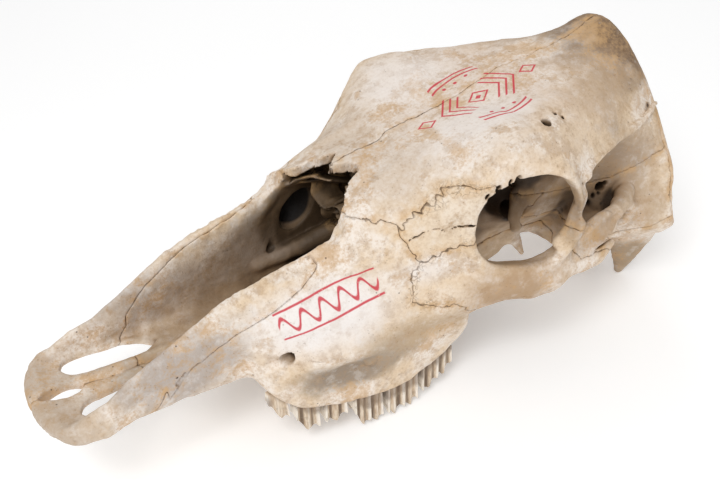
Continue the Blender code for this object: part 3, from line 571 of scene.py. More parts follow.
    # premaxilla
    clay.add(premaxilla_plate(), 3)
    clay.add(strap([(30, 36, 39), (50, 38, 47), (66, 35, 52), (84, 35.5, 60.5), (110, 36.5, 74),
                    (140, 37, 87), (168, 37.5, 99), (188, 38, 108)], (6.5, 8.5, 10.5, 12, 14, 13, 10, 6),
                   (5, 4, 3.4, 3.6, 3.6, 3.2, 2.8, 2.4)), 4)
    clay.add(strap([(58, 38, 38), (84, 37, 43), (110, 37, 52)], (3, 8, 10), (3, 3, 3.4)), 3)
    clay.add(strap([(44, 6, 39.5), (95, 6, 40.5), (135, 5, 43)],
                   (5, 4.5, 3), (2.8, 3.2, 4), face=(0, 0, 1)), 2)
    clay.cut(palatine_fissure(), 1.5)
    clay.cut(incisive_gap(), 1.5)
    clay.cut(strap([(1, 0, 38), (14, 0, 38)], (8.5, 0.8)), 2)
    fine_forms(clay)
    return clay


# Foramina: points along each canal in mm and its radius at them. These are alike on both sides
PAIRED_FORAMINA = [
    ([(143, 63, 47), (155, 55, 53), (176, 48, 61)], (5.0, 4.4, 3.4)),
    ([(346, 52, 94), (340, 36, 92), (344, 22, 92)], (7.5, 5.5, 4)),
    ([(300, 62, 112), (288, 52, 112), (270, 46, 110)], (6, 5, 4)),
    ([(452, 26, 58), (440, 20, 62)], (3, 2.4)),
]
# These are on one side, on the far side where y is negative
FORAMINA = [
    ([(333, 71, 180), (334, 67, 166), (338, 58, 150)], (3.5, 3.3, 2.6)),
    ([(331, -70, 180), (332, -66, 166), (336, -58, 150)], (3.4, 3.1, 2.5)),
    ([(345, 64, 182), (345, 63, 168)], (1.3, 1.1)),
    ([(349.5, 66.5, 182), (349, 66, 168)], (1.1, 0.9)),
    ([(401, 68, 104), (402, 58, 103), (406, 42, 102)], (3.7, 3.5, 2.8)),
    ([(404, 68, 107), (405, 60, 106), (408, 48, 105)], (2.0, 1.9, 1.5)),
    ([(396, 66, 98), (397, 58, 97), (399, 48, 96)], (1.5, 1.4, 1.0)),
    ([(392, 66, 94), (393, 58, 93), (395, 48, 92)], (1.3, 1.3, 1.0)),
    ([(400, 68, 99), (401, 60, 98.5), (402, 52, 98)], (1.2, 1.2, 0.9)),
    ([(400, -68, 103), (401, -58, 102), (405, -44, 101)], (3.4, 3.2, 2.4)),
    ([(404, -68, 98), (405, -58, 97), (408, -50, 96)], (1.6, 1.5, 1.0)),
]

# Cracks on the near side: side-view path in mm, half width and depth
CRACKS = [
    ([(238, 116), (241, 118), (243, 118.2), (246, 121), (249, 122.5), (254, 123.7), (258, 121.5)], 0.5, 2.2),
    ([(263, 122.5), (266, 124), (268, 124.2), (271, 125), (275, 124)], 0.5, 2.0),
    ([(166, 52), (172, 50), (180, 51), (188, 49)], 0.4, 1.2),
    ([(300, 60), (312, 64), (322, 62), (330, 66)], 0.35, 1.0),
]

# Pores: middle of a patch in mm, its spread, how many on the near and on the far side, their largest radius
PORES = [
    ((436, 20, 190), (16, 34, 16), (150, 90), 1.3),
    ((444, 58, 150), (10, 6, 18), (40, 26), 1.4),
    ((318, 88, 156), (26, 8, 5), (40, 24), 1.2),
    ((344, 93, 122), (7, 4, 22), (26, 12), 1.1),
    ((206, 66, 33), (26, 8, 9), (34, 20), 1.3),
    ((24, 30, 34), (12, 14, 5), (30, 22), 1.3),
    ((392, 62, 98), (12, 6, 10), (16, 0), 1.0),
    ((288, 78, 60), (22, 6, 10), (20, 12), 1.1),
    ((450, 0, 120), (10, 60, 40), (60, 0), 1.2),
]

# Relief all over the bone: size of its bumps and their height, in mm
RELIEF = [(16, 0.5), (6.5, 0.25), (2.8, 0.14)]

# A lobed shell in the back of the nose: its points in mm, which way it faces at them, and its half thickness
SHELL = [(217, -32, 116), (217, -29, 108), (219, -24, 103), (223, -20, 101.5), (228, -14, 105),
         (233, -9, 112)]
SHELL_FACES = [(0, -0.97, -0.25), (0, -0.9, -0.4), (0, -0.5, -0.86), (0, 0.1, -1), (0, 0.7, -0.7),
               (0, 0.75, -0.65)]
SHELL_THIN = (1.5, 1.4, 1.3, 1.3, 1.2, 1.1)


def block_of(step, axes, field):
    """A block from its grid and its field."""
    block = Clay.__new__(Clay)
    block.step, block.axes, block.field = step, axes, field
    block.low = np.array([axis[0] for axis in axes], float)
    return block


def joined(near, far):
    """Both halves in one block."""
    across = np.concatenate([-far.axes[1][:0:-1], near.axes[1]])
    field = np.concatenate([far.field[:, :0:-1, :], near.field], axis=1)
    return block_of(near.step, [near.axes[0], across, near.axes[2]], field)


def layers(block, levels, axis, ease=False):
    """A block read between its layers, at levels along one axis."""
    first = levels.astype(int)
    share = levels - first
    if ease:
        share = (share * share * (3 - 2 * share)).astype(np.float32)
    share = on_axis(share, axis, block.ndim)
    return np.take(block, first, axis) * (1 - share) + np.take(block, first + 1, axis) * share


def lattice_noise(shape, cells, random):
    """Smooth noise between -1 and 1 over a grid of a shape, with one random value every few cells."""
    values = random.uniform(-1, 1, [int(n / cells) + 3 for n in shape]).astype(np.float32)
    for axis, count in enumerate(shape):
        values = layers(values, np.arange(count) / cells, axis, ease=True)
    return values


def slopes(clay, points):
    """Unit directions out of the surface at points."""
    shifts = np.eye(3) * clay.step
    out = np.stack([clay.read(points + shift) - clay.read(points - shift) for shift in shifts], axis=-1)
    return out / np.maximum(np.linalg.norm(out, axis=1), 1e-6)[:, None]


def whole_skull(step):
    """Both sides with their holes, cracks, thin shells, relief and pores."""
    clay = joined(sculpt_side(step, FRONTAL_FRONT), sculpt_side(step, FRONTAL_FRONT_FAR))
    for points, radii in FORAMINA:
        clay.cut(strap(points, radii), 1.0)
    for points, radii in PAIRED_FORAMINA:
        for side in SIDES.values():
            clay.cut(strap(np.array(points) * (1, side, 1), radii), 1.0)
    for path, half_width, depth in CRACKS:
        clay.groove(path, half_width, depth)
    clay.add(strap([(206, -33, 119), (211, -28, 124), (218, -23, 126.5), (226, -14, 125)], (3, 5.5, 5.5, 3),
                   (1.3, 1.3, 1.3, 1.1), face=(0.1, -0.5, 0.86)), 1)
    for shift, wide in (((10, 1, 2), 6), ((17, 3, -3), 5.5)):
        wides = (wide, wide + 2, wide + 3, wide + 2, wide, wide - 3)
        clay.add(strap(np.array(SHELL) + shift, wides, SHELL_THIN, face=SHELL_FACES), 1)
    random = np.random.default_rng(7)
    for size, height in RELIEF:
        clay.field += height * lattice_noise(clay.field.shape, size / step, random)
    for middle, spread, counts, largest in PORES:
        for side, count in zip(SIDES.values(), counts):
            points = np.clip(random.normal(0, 0.6, (count, 3)), -1.2, 1.2)
            points = np.array(middle) * (1, side, 1) + np.array(spread) * points
            for _ in range(3):
                points = points - slopes(clay, points) * clay.read(points)[:, None]
            for point, size in zip(points, random.uniform(0.5, 1, count) ** 2 * largest):
                clay.cut(ball(point, (size, size, size)), 0.4)
    return clay


SCARF_START = 84


class Regions:
    """Parts the skull's space among its bones, first come first served, along wandering sutures."""

    def __init__(self, clay):
        self.clay = clay
        self.taken = np.full(clay.field.shape, FAR, np.float32)
        random = np.random.default_rng(21)
        x, z = clay.axes[0][:, None], clay.axes[2][None, :]
        flat = (len(clay.axes[0]), len(clay.axes[2]))
        fine = 3.6 / clay.step
        lively = np.clip((x - 195) / 30, 0, 1) * np.clip((345 - x) / 20, 0.2, 1) * 1.7 + 0.2

        def noise(cells):
            return lattice_noise(flat, cells, random)

        self.x = x + lively * (noise(fine) + 0.6 * noise(fine * 0.55))
        self.z = z + lively * (noise(fine) + 0.6 * noise(fine * 0.55))
        wander = noise(9 / clay.step)[:, 3] + 0.5 * noise(fine)[:, 3]
        self.wander = 1.1 * wander[:, None, None]

    def part(self, outline, near=None, far=None, side=0, scarf=None):
        """Distance to a bone's region: inside the outline, from y = near to y = far, on one side or both.

        A scarf joint runs lower on the outside behind SCARF_START. scarf gives the y where it is true to the
        outline, and its steepness.
        """
        y = self.clay.axes[1][None, :, None]
        region = outline_distance(outline, self.x, self.z)[:, None, :] + 0 * y
        if scarf:
            lower = np.clip((abs(self.clay.axes[1]) - scarf[0]) * scarf[1], -9, 9)
            start = int((SCARF_START - self.clay.low[0]) / self.clay.step)
            levels = np.arange(region.shape[2])
            for j, shift in enumerate(lower / self.clay.step):
                level = np.clip(levels + shift, 0, levels[-1] - 1)
                first = level.astype(int)
                share = (level - first).astype(np.float32)
                row = region[start:, j, :]
                region[start:, j, :] = row[:, first] * (1 - share) + row[:, first + 1] * share
        if side:
            region = np.maximum(region, self.wander - y if side > 0 else y - self.wander)
        if near is not None:
            region = np.maximum(region, near - y * side)
        if far is not None:
            region = np.maximum(region, abs(y) - far)
        free = np.maximum(region, -self.taken)
        self.taken = np.minimum(self.taken, region)
        return free


def quads_of(field, low, step):
    """The surface where a block of distances is zero: points and quads facing out."""
    padded = np.pad(field, 2, constant_values=MESH_BAND)
    grid = openvdb.FloatGrid(background=MESH_BAND)
    grid.copyFromArray(np.ascontiguousarray(np.clip(padded, -MESH_BAND, MESH_BAND).astype(np.float32)))
    points, quads = grid.convertToQuads(isovalue=0.0)
    return points * step + (np.array(low) - 2 * step), quads[:, ::-1]


def largest_only(points, quads):
    """Keep the surface with the most points."""
    label = np.arange(len(points))
    while True:
        new = label.copy()
        lowest = label[quads].min(axis=1)
        for corner in range(4):
            np.minimum.at(new, quads[:, corner], lowest)
        new = new[new]
        if (new == label).all():
            break
        label = new
    kept = label == np.bincount(label).argmax()
    number = np.cumsum(kept) - 1
    return points[kept], number[quads[kept[quads[:, 0]]]]


def row_metres(points):
    """From skull axes in mm to the row frame in metres, as the skull rests."""
    c, s = turn_of(REST_LEAN)
    x, y, z = points[..., 0], points[..., 1], points[..., 2]
    return np.stack([x * c + z * s - MIDDLE, -y, z * c - x * s + REST_LIFT], axis=-1) / 1000


def fast_mesh(name, points, quads):
    """An object from arrays of points and quads."""
    mesh = bpy.data.meshes.new(name)
    mesh.vertices.add(len(points))
    mesh.vertices.foreach_set("co", points.astype(np.float32).ravel())
    mesh.loops.add(quads.size)
    mesh.loops.foreach_set("vertex_index", quads.astype(np.int32).ravel())
    mesh.polygons.add(len(quads))
    width = quads.shape[1]
    mesh.polygons.foreach_set("loop_start", np.arange(0, quads.size, width, dtype=np.int32))
    mesh.update(calc_edges=True)
    mesh.validate()
    mesh.polygons.foreach_set("use_smooth", np.ones(len(mesh.polygons), bool))
    thing = bpy.data.objects.new(name, mesh)
    bpy.context.scene.collection.objects.link(thing)
    return thing


def mark(thing, name, values):
    """Give each point of a piece a value that its finish reads."""
    thing.data.attributes.new(name, "FLOAT", "POINT").data.foreach_set("value", values.astype(np.float32))


# Shelter: its grid in mm, how many of its steps each direction is followed, and how much a direction
# counts that looks down, level or up
SHELTER_GRID = 3.8
SHELTER_REACH = 24
SHELTER_WEIGHTS = (0.6, 0.9, 1.2)


def shelter_of(clay):
    """How shut in each place is, on a coarser grid: the share of directions in which bone is met."""
    every = max(1, round(SHELTER_GRID / clay.step))
    free = (clay.field[::every, ::every, ::every] > 0).astype(np.float32)
    blocked, weights = 0, 0
    for way in np.ndindex(3, 3, 3):
        way = [step - 1 for step in way]
        if not any(way):
            continue
        to = tuple(slice(max(-d, 0), n - max(d, 0)) for d, n in zip(way, free.shape))
        at = tuple(slice(max(d, 0), n - max(-d, 0)) for d, n in zip(way, free.shape))
        light = free.copy()
        for _ in range(SHELTER_REACH):
            new = free.copy()
            new[to] *= light[at]
            light = new
        weight = SHELTER_WEIGHTS[way[2] + 1]
        blocked = blocked + weight * (1 - light)
        weights += weight
    axes = [axis[::every] for axis in clay.axes]
    return block_of(clay.step * every, axes, (blocked / weights).astype(np.float32))


SKULL = whole_skull(STEP)
SHELTER = shelter_of(SKULL)


def shut_in(points):
    """0 in the open to 1 deep inside, from the shelter at points."""
    return np.clip((SHELTER.read(points) - 0.42) / 0.5, 0, 1)


# The finishes paint shade and dust by this value: the deeper a place lies, the darker its colour.
def hollowness(points, out):
    """0 on an open face to 1 deep in a hollow, from the room round each point and the shape next to it."""
    near = sum(0.5 * np.clip(1 - SKULL.read(points + out * reach) / reach, 0, 1) for reach in (2.5, 6))
    return shut_in(points + out * SHELTER.step * 1.4) * 0.85 + near * 0.3


def thinness(points, out):
    """How little bone lies behind each point, 0 where it is thick to 1 at a sharp edge."""
    return sum(0.5 * np.clip(1 + SKULL.read(points - out * reach) / reach, 0, 1) for reach in (2.5, 5))


def under_floor(clay):
    """How far each place is below the floor that the skull rests on."""
    x, _, z = clay.places()
    c, s = turn_of(REST_LEAN)
    return (FLOOR_GAP - (z * c - x * s + REST_LIFT)).astype(np.float32)


def coarser(block, times):
    """A block of distances read on a grid that is wider by a factor."""
    for axis in range(3):
        block = layers(block, np.arange(0, block.shape[axis] - 1, times), axis)
    return block


def make_bone(name, region, times):
    """Cut one bone out of the skull and give it the marks that its finish reads."""
    field = np.maximum(np.maximum(SKULL.field, region + SEAM_GAP / 2), under_floor(SKULL))
    filled = np.argwhere(field < 0)
    first = np.maximum(filled.min(0) - 2, 0)
    last = filled.max(0) + 3 + (times > 1)
    window = tuple(slice(a, b) for a, b in zip(first, last))
    block = field[window] if times == 1 else coarser(field[window], times)
    points, quads = quads_of(block, SKULL.low + first * STEP, STEP * times)
    points, quads = largest_only(points, quads)
    thing = fast_mesh(f"{name}_fine", row_metres(points), quads[:, ::-1])
    out = slopes(SKULL, points)
    mark(thing, "hollow", hollowness(points, out))
    mark(thing, "seam", -SKULL.read(points, region))
    mark(thing, "thin", thinness(points, out))
    return thing


regions = Regions(SKULL)
bones = {}


def take_bone(name, outline, times=1, **limits):
    """Give a bone its share of the skull. The name of a paired bone ends in its side."""
    side = SIDES.get(name.split("_")[-1], 0)
    bones[name] = make_bone(name, regions.part(outline, side=side, **limits), times)


for side in SIDES:
    take_bone(f"premaxilla_{side}", PREMAXILLA, scarf=(37.5, 3.0))
take_bone("ethmoid", ETHMOID, far=31)
take_bone("vomer", VOMER, far=6)
for side in SIDES:
    take_bone(f"frontal_{side}", FRONTAL)
for side in SIDES:
    take_bone(f"temporal_{side}", TEMPORAL, near=40)
    take_bone(f"zygomatic_{side}", ZYGOMATIC, near=58)
    take_bone(f"lacrimal_{side}", LACRIMAL, near=40)
for side in SIDES:
    take_bone(f"palatine_{side}", PALATINE, far=34)
for side in SIDES:
    take_bone(f"maxilla_{side}", MAXILLA)
take_bone("occipital", EVERYTHING, times=OCCIPITAL_STEPS)


def rib(place, middle, width, height):
    """A rib at a place along the tooth."""
    return height * np.exp(-(((place - middle) / width) ** 2))


def tooth_mesh(name, start, side):
    """One cheek tooth: lobes, styles, worn cusps and infundibula.

    Its mesh comes with how far each point is above the tips, and how far it stands out on a ridge.
    """
    length, crown, width, lobes = TEETH[name]
    middle = start + length / 2
    lowest = float(along(CROWN_TIPS, np.array([start, middle, start + length])).min())
    cheek = float(along(CHEEK_SIDE, np.array([middle]))[0])
    low = (start - 3, cheek - width - 6, lowest - 3)
    high = (start + length + 3, cheek + 8, lowest + crown + 14)
    block = Clay(low, high, TOOTH_STEP)
    x, y, z = block.places()
    random = np.random.default_rng(len(name) + int(start))
    lean = random.uniform(-0.05, 0.05)
    tips = along(CROWN_TIPS, x)
    neck = np.clip((z - tips - 2) / (crown + 6), 0, 1)
    t = (x - start) / length + lean * (1 - neck)
    styles = (0.09, 0.91) if lobes == 1 else (0.06, 0.5, 0.94)
    cones = (0.5,) if lobes == 1 else (0.28, 0.73)
    slim = 1.0 / lobes

    def about(place):
        return place + random.uniform(-0.03, 0.03)

    relief = sum(rib(t, about(place), 0.095 * slim + 0.02, random.uniform(2.8, 4.0)) for place in styles)
    relief = sum((rib(t, about(place), 0.14 * slim, random.uniform(1.4, 2.6)) for place in cones), relief)
    if name == "premolar_2":
        relief = 1.2 + relief * 0.35
    relief = relief + 0.25 * np.sin(t * length * 2.1 + start) * np.cos(z * 0.31 + start)
    outer = along(CHEEK_SIDE, x) - 3.4 + relief * (1 - 0.35 * neck) - 0.8 * neck
    inner = cheek - width + 2.2 + 1.2 * neck
    for place in cones:
        inner = inner - rib(t, place, 0.15, 2.6)
    across = np.clip((y - inner) / (outer - inner), 0, 1)
    cusps = sum(rib(t, about(place), 0.2 * slim + 0.02, random.uniform(0.8, 1.1)) for place in cones)
    ends = sum(rib(t, place, 0.06, random.uniform(0.2, 0.55)) for place in styles)
    edge = np.clip(np.abs(across - 0.5) * 2, 0, 1) ** 1.3
    chips = 0.5 * np.sin(t * length * 1.3 + 2 * start) * np.sin(y * 0.9 + start)
    bottom = tips + 7.0 - edge * (0.6 + 5.8 * cusps + 4.5 * ends) + 0.9 * (1 - across) + chips
    d = smooth_max((y - outer) * 0.85, (inner - y) * 0.9, 1.4)
    waist = 0.2 + 1.6 * neck + 0.8 * (1 - neck)
    d = smooth_max(d, (np.abs(x - middle) - length / 2 + waist) * 0.95, 1.0)
    d = smooth_max(d, (bottom - z) * 0.6, 0.5)
    d = smooth_max(d, z - (tips + crown + 9), 2.0)
    for lobe in range(lobes):
        centre = start + length * (lobe + 0.5) / lobes
        wide = length / lobes * 0.20
        bow = (x - centre) / wide
        line = np.abs(y - (cheek - width * 0.50 + 1.6 - 1.6 * bow**2)) - 0.75
        pit = np.maximum(np.maximum(line, np.abs(x - centre) - wide * 1.15), z - (tips + 9))
        d = smooth_max(d, -pit, 0.6)
    block.field = np.maximum(d, under_floor(block)).astype(np.float32)
    points, quads = quads_of(block.field, block.low, block.step)
    points, quads = largest_only(points, quads)
    rise = points[:, 2] - along(CROWN_TIPS, points[:, 0])
    ridge = np.interp(points[:, 0], x.ravel(), (relief + 0 * x)[:, 0, -1].ravel())
    points[:, 1] *= side
    if side < 0:
        quads = quads[:, ::-1]
    return points, quads, rise, ridge


def make_teeth(side_name, side):
    """The row of cheek teeth on one side."""
    start, count = ROW_START, 0
    row = []
    for name in TEETH:
        points, quads, rise, ridge = tooth_mesh(name, start, side)
        row.append((points, quads + count, rise, ridge))
        count += len(points)
        start += TEETH[name][0] + (GAP_BEFORE_MOLARS if name == "premolar_4" else TOOTH_GAP)
    points, quads, rise, ridge = (np.concatenate(parts) for parts in zip(*row))
    thing = fast_mesh(f"teeth_{side_name}", row_metres(points), quads[:, ::-1])
    mark(thing, "rise", rise)
    mark(thing, "ridge", ridge)
    mark(thing, "hollow", hollowness(points, slopes(SKULL, points)) * 0.5)
    return thing


teeth = {side_name: make_teeth(side_name, side) for side_name, side in SIDES.items()}


def skull_mm(points):
    """From the row frame in metres back to skull axes in mm."""
    c, s = turn_of(REST_LEAN)
    x, y, z = points[:, 0] * 1000 + MIDDLE, points[:, 1] * 1000, points[:, 2] * 1000 - REST_LIFT
    return np.stack([x * c - z * s, -y, x * s + z * c], axis=-1)


# Curled shells of the ethmoid, alike on both sides: where each is rooted, in mm, and their sizes in m
SCROLL_ROOTS = [(252, -15, 118), (257, -24, 108), (256, -11, 103), (260, -22, 93), (256, -9, 88),
                (258, -17, 78)]
SCROLL_SIZES = {"Radius": 0.0085, "Turns": 1.15, "Length": 0.03, "Thickness": 0.001, "Wobble": 0.0028}
SCROLL_SEED = 5


def add_node(tree, kind, settings, inputs):
    """Add a node to a tree: its settings first, then the values or links of its sockets."""
    made = tree.nodes.new(kind)
    for key, value in settings.items():
        setattr(made, key, value)
    for key, value in inputs.items():
        if isinstance(value, bpy.types.NodeSocket):
            tree.links.new(value, made.inputs[key])
        else:
            made.inputs[key].default_value = value
    return made


def scroll_tree():
    """Nodes that root a curled shell, a ribbon of bone wound on a spiral, at each point of a mesh."""
    tree = bpy.data.node_groups.new("ethmoid_scrolls", "GeometryNodeTree")
    sockets = tree.interface
    sockets.new_socket("Geometry", in_out="INPUT", socket_type="NodeSocketGeometry")
    for name, value in SCROLL_SIZES.items():
        sockets.new_socket(name, in_out="INPUT", socket_type="NodeSocketFloat").default_value = value
    sockets.new_socket("Seed", in_out="INPUT", socket_type="NodeSocketInt").default_value = SCROLL_SEED
    sockets.new_socket("Material", in_out="INPUT", socket_type="NodeSocketMaterial")
    sockets.new_socket("Geometry", in_out="OUTPUT", socket_type="NodeSocketGeometry")
    given = tree.nodes.new("NodeGroupInput").outputs

    def node(kind, settings, inputs, out=0):
        return add_node(tree, kind, settings, inputs).outputs[out]

    def maths(operation, first, second):
        return node("ShaderNodeMath", {"operation": operation}, {0: first, 1: second})

    core = maths("MULTIPLY", given["Radius"], 0.3)
    spiral = node("GeometryNodeCurveSpiral", {}, {
        "Resolution": 30, "Rotations": given["Turns"], "Start Radius": core, "End Radius": given["Radius"],
        "Height": 0.0})
    strip = node("GeometryNodeCurvePrimitiveQuadrilateral", {"mode": "RECTANGLE"}, {
        "Width": given["Thickness"], "Height": given["Length"]})
    strip = node("GeometryNodeResampleCurve", {}, {"Curve": strip, "Count": 64})
    shell = node("GeometryNodeCurveToMesh", {}, {"Curve": spiral, "Profile Curve": strip, "Fill Caps": True})
    reach = maths("MULTIPLY", given["Length"], 0.42)
    forward = node("ShaderNodeCombineXYZ", {}, {"Z": reach})
    shell = node("GeometryNodeTransform", {}, {"Geometry": shell, "Translation": forward})
    turned = node("FunctionNodeRandomValue", {"data_type": "FLOAT_VECTOR"}, {
        0: (-0.15, -1.75, -2.4), 1: (0.15, -1.45, 0.4), "Seed": given["Seed"]})
    scaled = node("FunctionNodeRandomValue", {"data_type": "FLOAT"}, {
        2: 0.72, 3: 1.12, "Seed": given["Seed"]}, out=1)
    shells = node("GeometryNodeInstanceOnPoints", {}, {
        "Points": given["Geometry"], "Instance": shell, "Rotation": turned, "Scale": scaled})
    shells = node("GeometryNodeRealizeInstances", {}, {"Geometry": shells})
    ripple = node("ShaderNodeTexNoise", {}, {"Scale": 90.0, "Detail": 2.0}, out="Color")
    centred = node("ShaderNodeVectorMath", {"operation": "SUBTRACT"}, {0: ripple, 1: (0.5, 0.5, 0.5)})
    offset = node("ShaderNodeVectorMath", {"operation": "SCALE"}, {
        0: centred, "Scale": maths("MULTIPLY", given["Wobble"], 2.0)})
    shells = node("GeometryNodeSetPosition", {}, {"Geometry": shells, "Offset": offset})
    shells = node("GeometryNodeSetShadeSmooth", {}, {"Geometry": shells})
    shells = node("GeometryNodeSetMaterial", {}, {"Geometry": shells, "Material": given["Material"]})
    tree.links.new(shells, tree.nodes.new("NodeGroupOutput").inputs[0])
    return tree


def make_scrolls(material):
    """The curled shells as a plain mesh, with the marks that the bone's finish reads."""
    roots = np.array(SCROLL_ROOTS, float)
    roots = row_metres(np.concatenate([roots, roots * (1, -1, 1)]))
    mesh = bpy.data.meshes.new("scroll_roots")
    mesh.from_pydata(roots.tolist(), [], [])
    thing = bpy.data.objects.new("ethmoid_scrolls", mesh)
    bpy.context.scene.collection.objects.link(thing)
    modifier = thing.modifiers.new("scrolls", "NODES")
    modifier.node_group = scroll_tree()
    values = dict(SCROLL_SIZES, Seed=SCROLL_SEED, Material=material)
    for item in modifier.node_group.interface.items_tree:
        if item.in_out == "INPUT" and item.name in values:
            modifier[item.identifier] = values[item.name]
    evaluated = thing.evaluated_get(bpy.context.evaluated_depsgraph_get())
    made = bpy.data.meshes.new_from_object(evaluated)
    thing.modifiers.clear()
    thing.data = made
    points = np.empty(len(made.vertices) * 3, np.float32)
    made.vertices.foreach_get("co", points)
    points = skull_mm(points.reshape(-1, 3))
    mark(thing, "hollow", 0.22 + shut_in(points) * 0.4)
    mark(thing, "seam", np.full(len(points), 9.0))
    mark(thing, "thin", np.full(len(points), 0.8))
    return thing


class Wire:
    """A value in a material. Sums and products on it add Math nodes."""

    def __init__(self, finish, socket):
        self.finish = finish
        self.socket = socket

    def maths(self, operation, *others):
        return self.finish.node("ShaderNodeMath", {"operation": operation}, [self, *others])

    def __add__(self, other):
        return self.maths("ADD", other)

    def __sub__(self, other):
        return self.maths("SUBTRACT", other)

    def __mul__(self, other):
        return self.maths("MULTIPLY", other)

    def __truediv__(self, other):
        return self.maths("DIVIDE", other)

    def __rsub__(self, other):
        return self.finish.node("ShaderNodeMath", {"operation": "SUBTRACT"}, [other, self])

    def __abs__(self):
        return self.maths("ABSOLUTE")

    __radd__ = __add__
    __rmul__ = __mul__

    def sine(self):
        return self.maths("SINE")

    def least(self, other):
        return self.maths("MINIMUM", other)

    def most(self, other):
        return self.maths("MAXIMUM", other)

    def root(self):
        return self.maths("SQRT")

    def beat(self, length):
        """How far this is from the nearest even multiple of a length."""
        return self.maths("PINGPONG", length)

    def over(self, low, high):
        """0 below low, 1 above high, smooth between."""
        return self.finish.node("ShaderNodeMapRange", {"interpolation_type": "SMOOTHSTEP"}, {
            "Value": self, "From Min": low, "From Max": high})

    def under(self, low, high):
        """1 below low, 0 above high, smooth between."""
        return 1.0 - self.over(low, high)


class Finish:
    """A material under construction."""

    def __init__(self, name):
        self.material = bpy.data.materials.new(name)
        self.material.use_nodes = True
        self.tree = self.material.node_tree
        self.surface = self.tree.nodes["Principled BSDF"]
        place = self.node("ShaderNodeTexCoord", {}, {}, out="Object")
        self.place = self.node("ShaderNodeVectorMath", {"operation": "SCALE"}, {
            "Vector": place, "Scale": 1000.0})
        parts = self.tree.nodes.new("ShaderNodeSeparateXYZ")
        self.tree.links.new(self.place.socket, parts.inputs[0])
        self.x, self.y, self.z = (Wire(self, parts.outputs[i]) for i in range(3))

    def node(self, kind, settings, inputs, out=0):
        """Add a node and give the value that comes out of it."""
        pairs = enumerate(inputs) if isinstance(inputs, list) else inputs.items()
        plain = {key: value.socket if isinstance(value, Wire) else value for key, value in pairs}
        return Wire(self, add_node(self.tree, kind, settings, plain).outputs[out])

    def attribute(self, name):
        """A value that the mesh carries."""
        return self.node("ShaderNodeAttribute", {"attribute_name": name}, {}, out="Fac")

    def stretched(self, x, y, z):
        """The place with its parts scaled, which draws a pattern out."""
        return self.node("ShaderNodeVectorMath", {"operation": "MULTIPLY"}, [self.place, (x, y, z)])

    def moved(self, place, seed):
        return self.node("ShaderNodeVectorMath", {"operation": "ADD"}, [place, (seed, seed * 1.7, -seed)])

    def noise(self, size, detail, rough, seed, place=None):
        """Noise from 0 to 1 with features of a size in mm."""
        return self.node("ShaderNodeTexNoise", {}, {
            "Vector": self.moved(place or self.place, seed), "Scale": 1.0 / size, "Detail": detail,
            "Roughness": rough})

    def cells(self, size, seed):
        """How far the nearest of many scattered points is, in sizes."""
        return self.node("ShaderNodeTexVoronoi", {}, {
            "Vector": self.moved(self.place, seed), "Scale": 1.0 / size})

    def mix(self, share, a, b):
        """Colour a where share is 0 and b where it is 1."""
        a, b = (colour if isinstance(colour, Wire) else (*colour, 1.0) for colour in (a, b))
        return self.node("ShaderNodeMix", {"data_type": "RGBA"}, {0: share, 6: a, 7: b}, out=2)

    def near(self, place, radii, ragged=None):
        """1 at a skull-axes place in mm, falling to 0 at the radii along the row's axes, on both sides."""
        x, y, z = row_mm(place)
        parts = ((self.x, x), (abs(self.y), abs(y)), (self.z, z))
        far = sum(((axis - m) / r) * ((axis - m) / r) for (axis, m), r in zip(parts, radii)).root()
        return (far + ragged if ragged else far).under(0.3, 1.0)

    def done(self, colour, roughness, height, distance, strength):
        """The finished material, with its relief from a height."""
        bump = self.node("ShaderNodeBump", {}, {"Height": height, "Distance": distance, "Strength": strength})
        for key, value in (("Base Color", colour), ("Roughness", roughness), ("Normal", bump)):
            self.tree.links.new(value.socket, self.surface.inputs[key])
        return self.material


def row_mm(place):
    """A skull-axes place in the row frame, in mm."""
    return [float(part) for part in row_metres(np.array(place, float)) * 1000]


CREAM = (0.74, 0.58, 0.41)
PALE = (0.85, 0.77, 0.69)
WHITE = (0.88, 0.84, 0.81)
TAN = (0.43, 0.275, 0.145)
OCHRE = (0.62, 0.37, 0.15)
GREY = (0.38, 0.30, 0.22)
BLUISH = (0.42, 0.365, 0.33)
BROWN = (0.20, 0.115, 0.05)
INNER = (0.36, 0.24, 0.14)
DARK = (0.035, 0.018, 0.007)
CREVICE = (0.09, 0.045, 0.02)
RED_PAINT = (0.58, 0.022, 0.045)
CHEEK_WHITE = (0.84, 0.79, 0.76)
NOSE_SHADE = (0.085, 0.05, 0.02)
EYE_SHADE = (0.06, 0.034, 0.013)
SINUS_SHADE = (0.008, 0.004, 0.002)

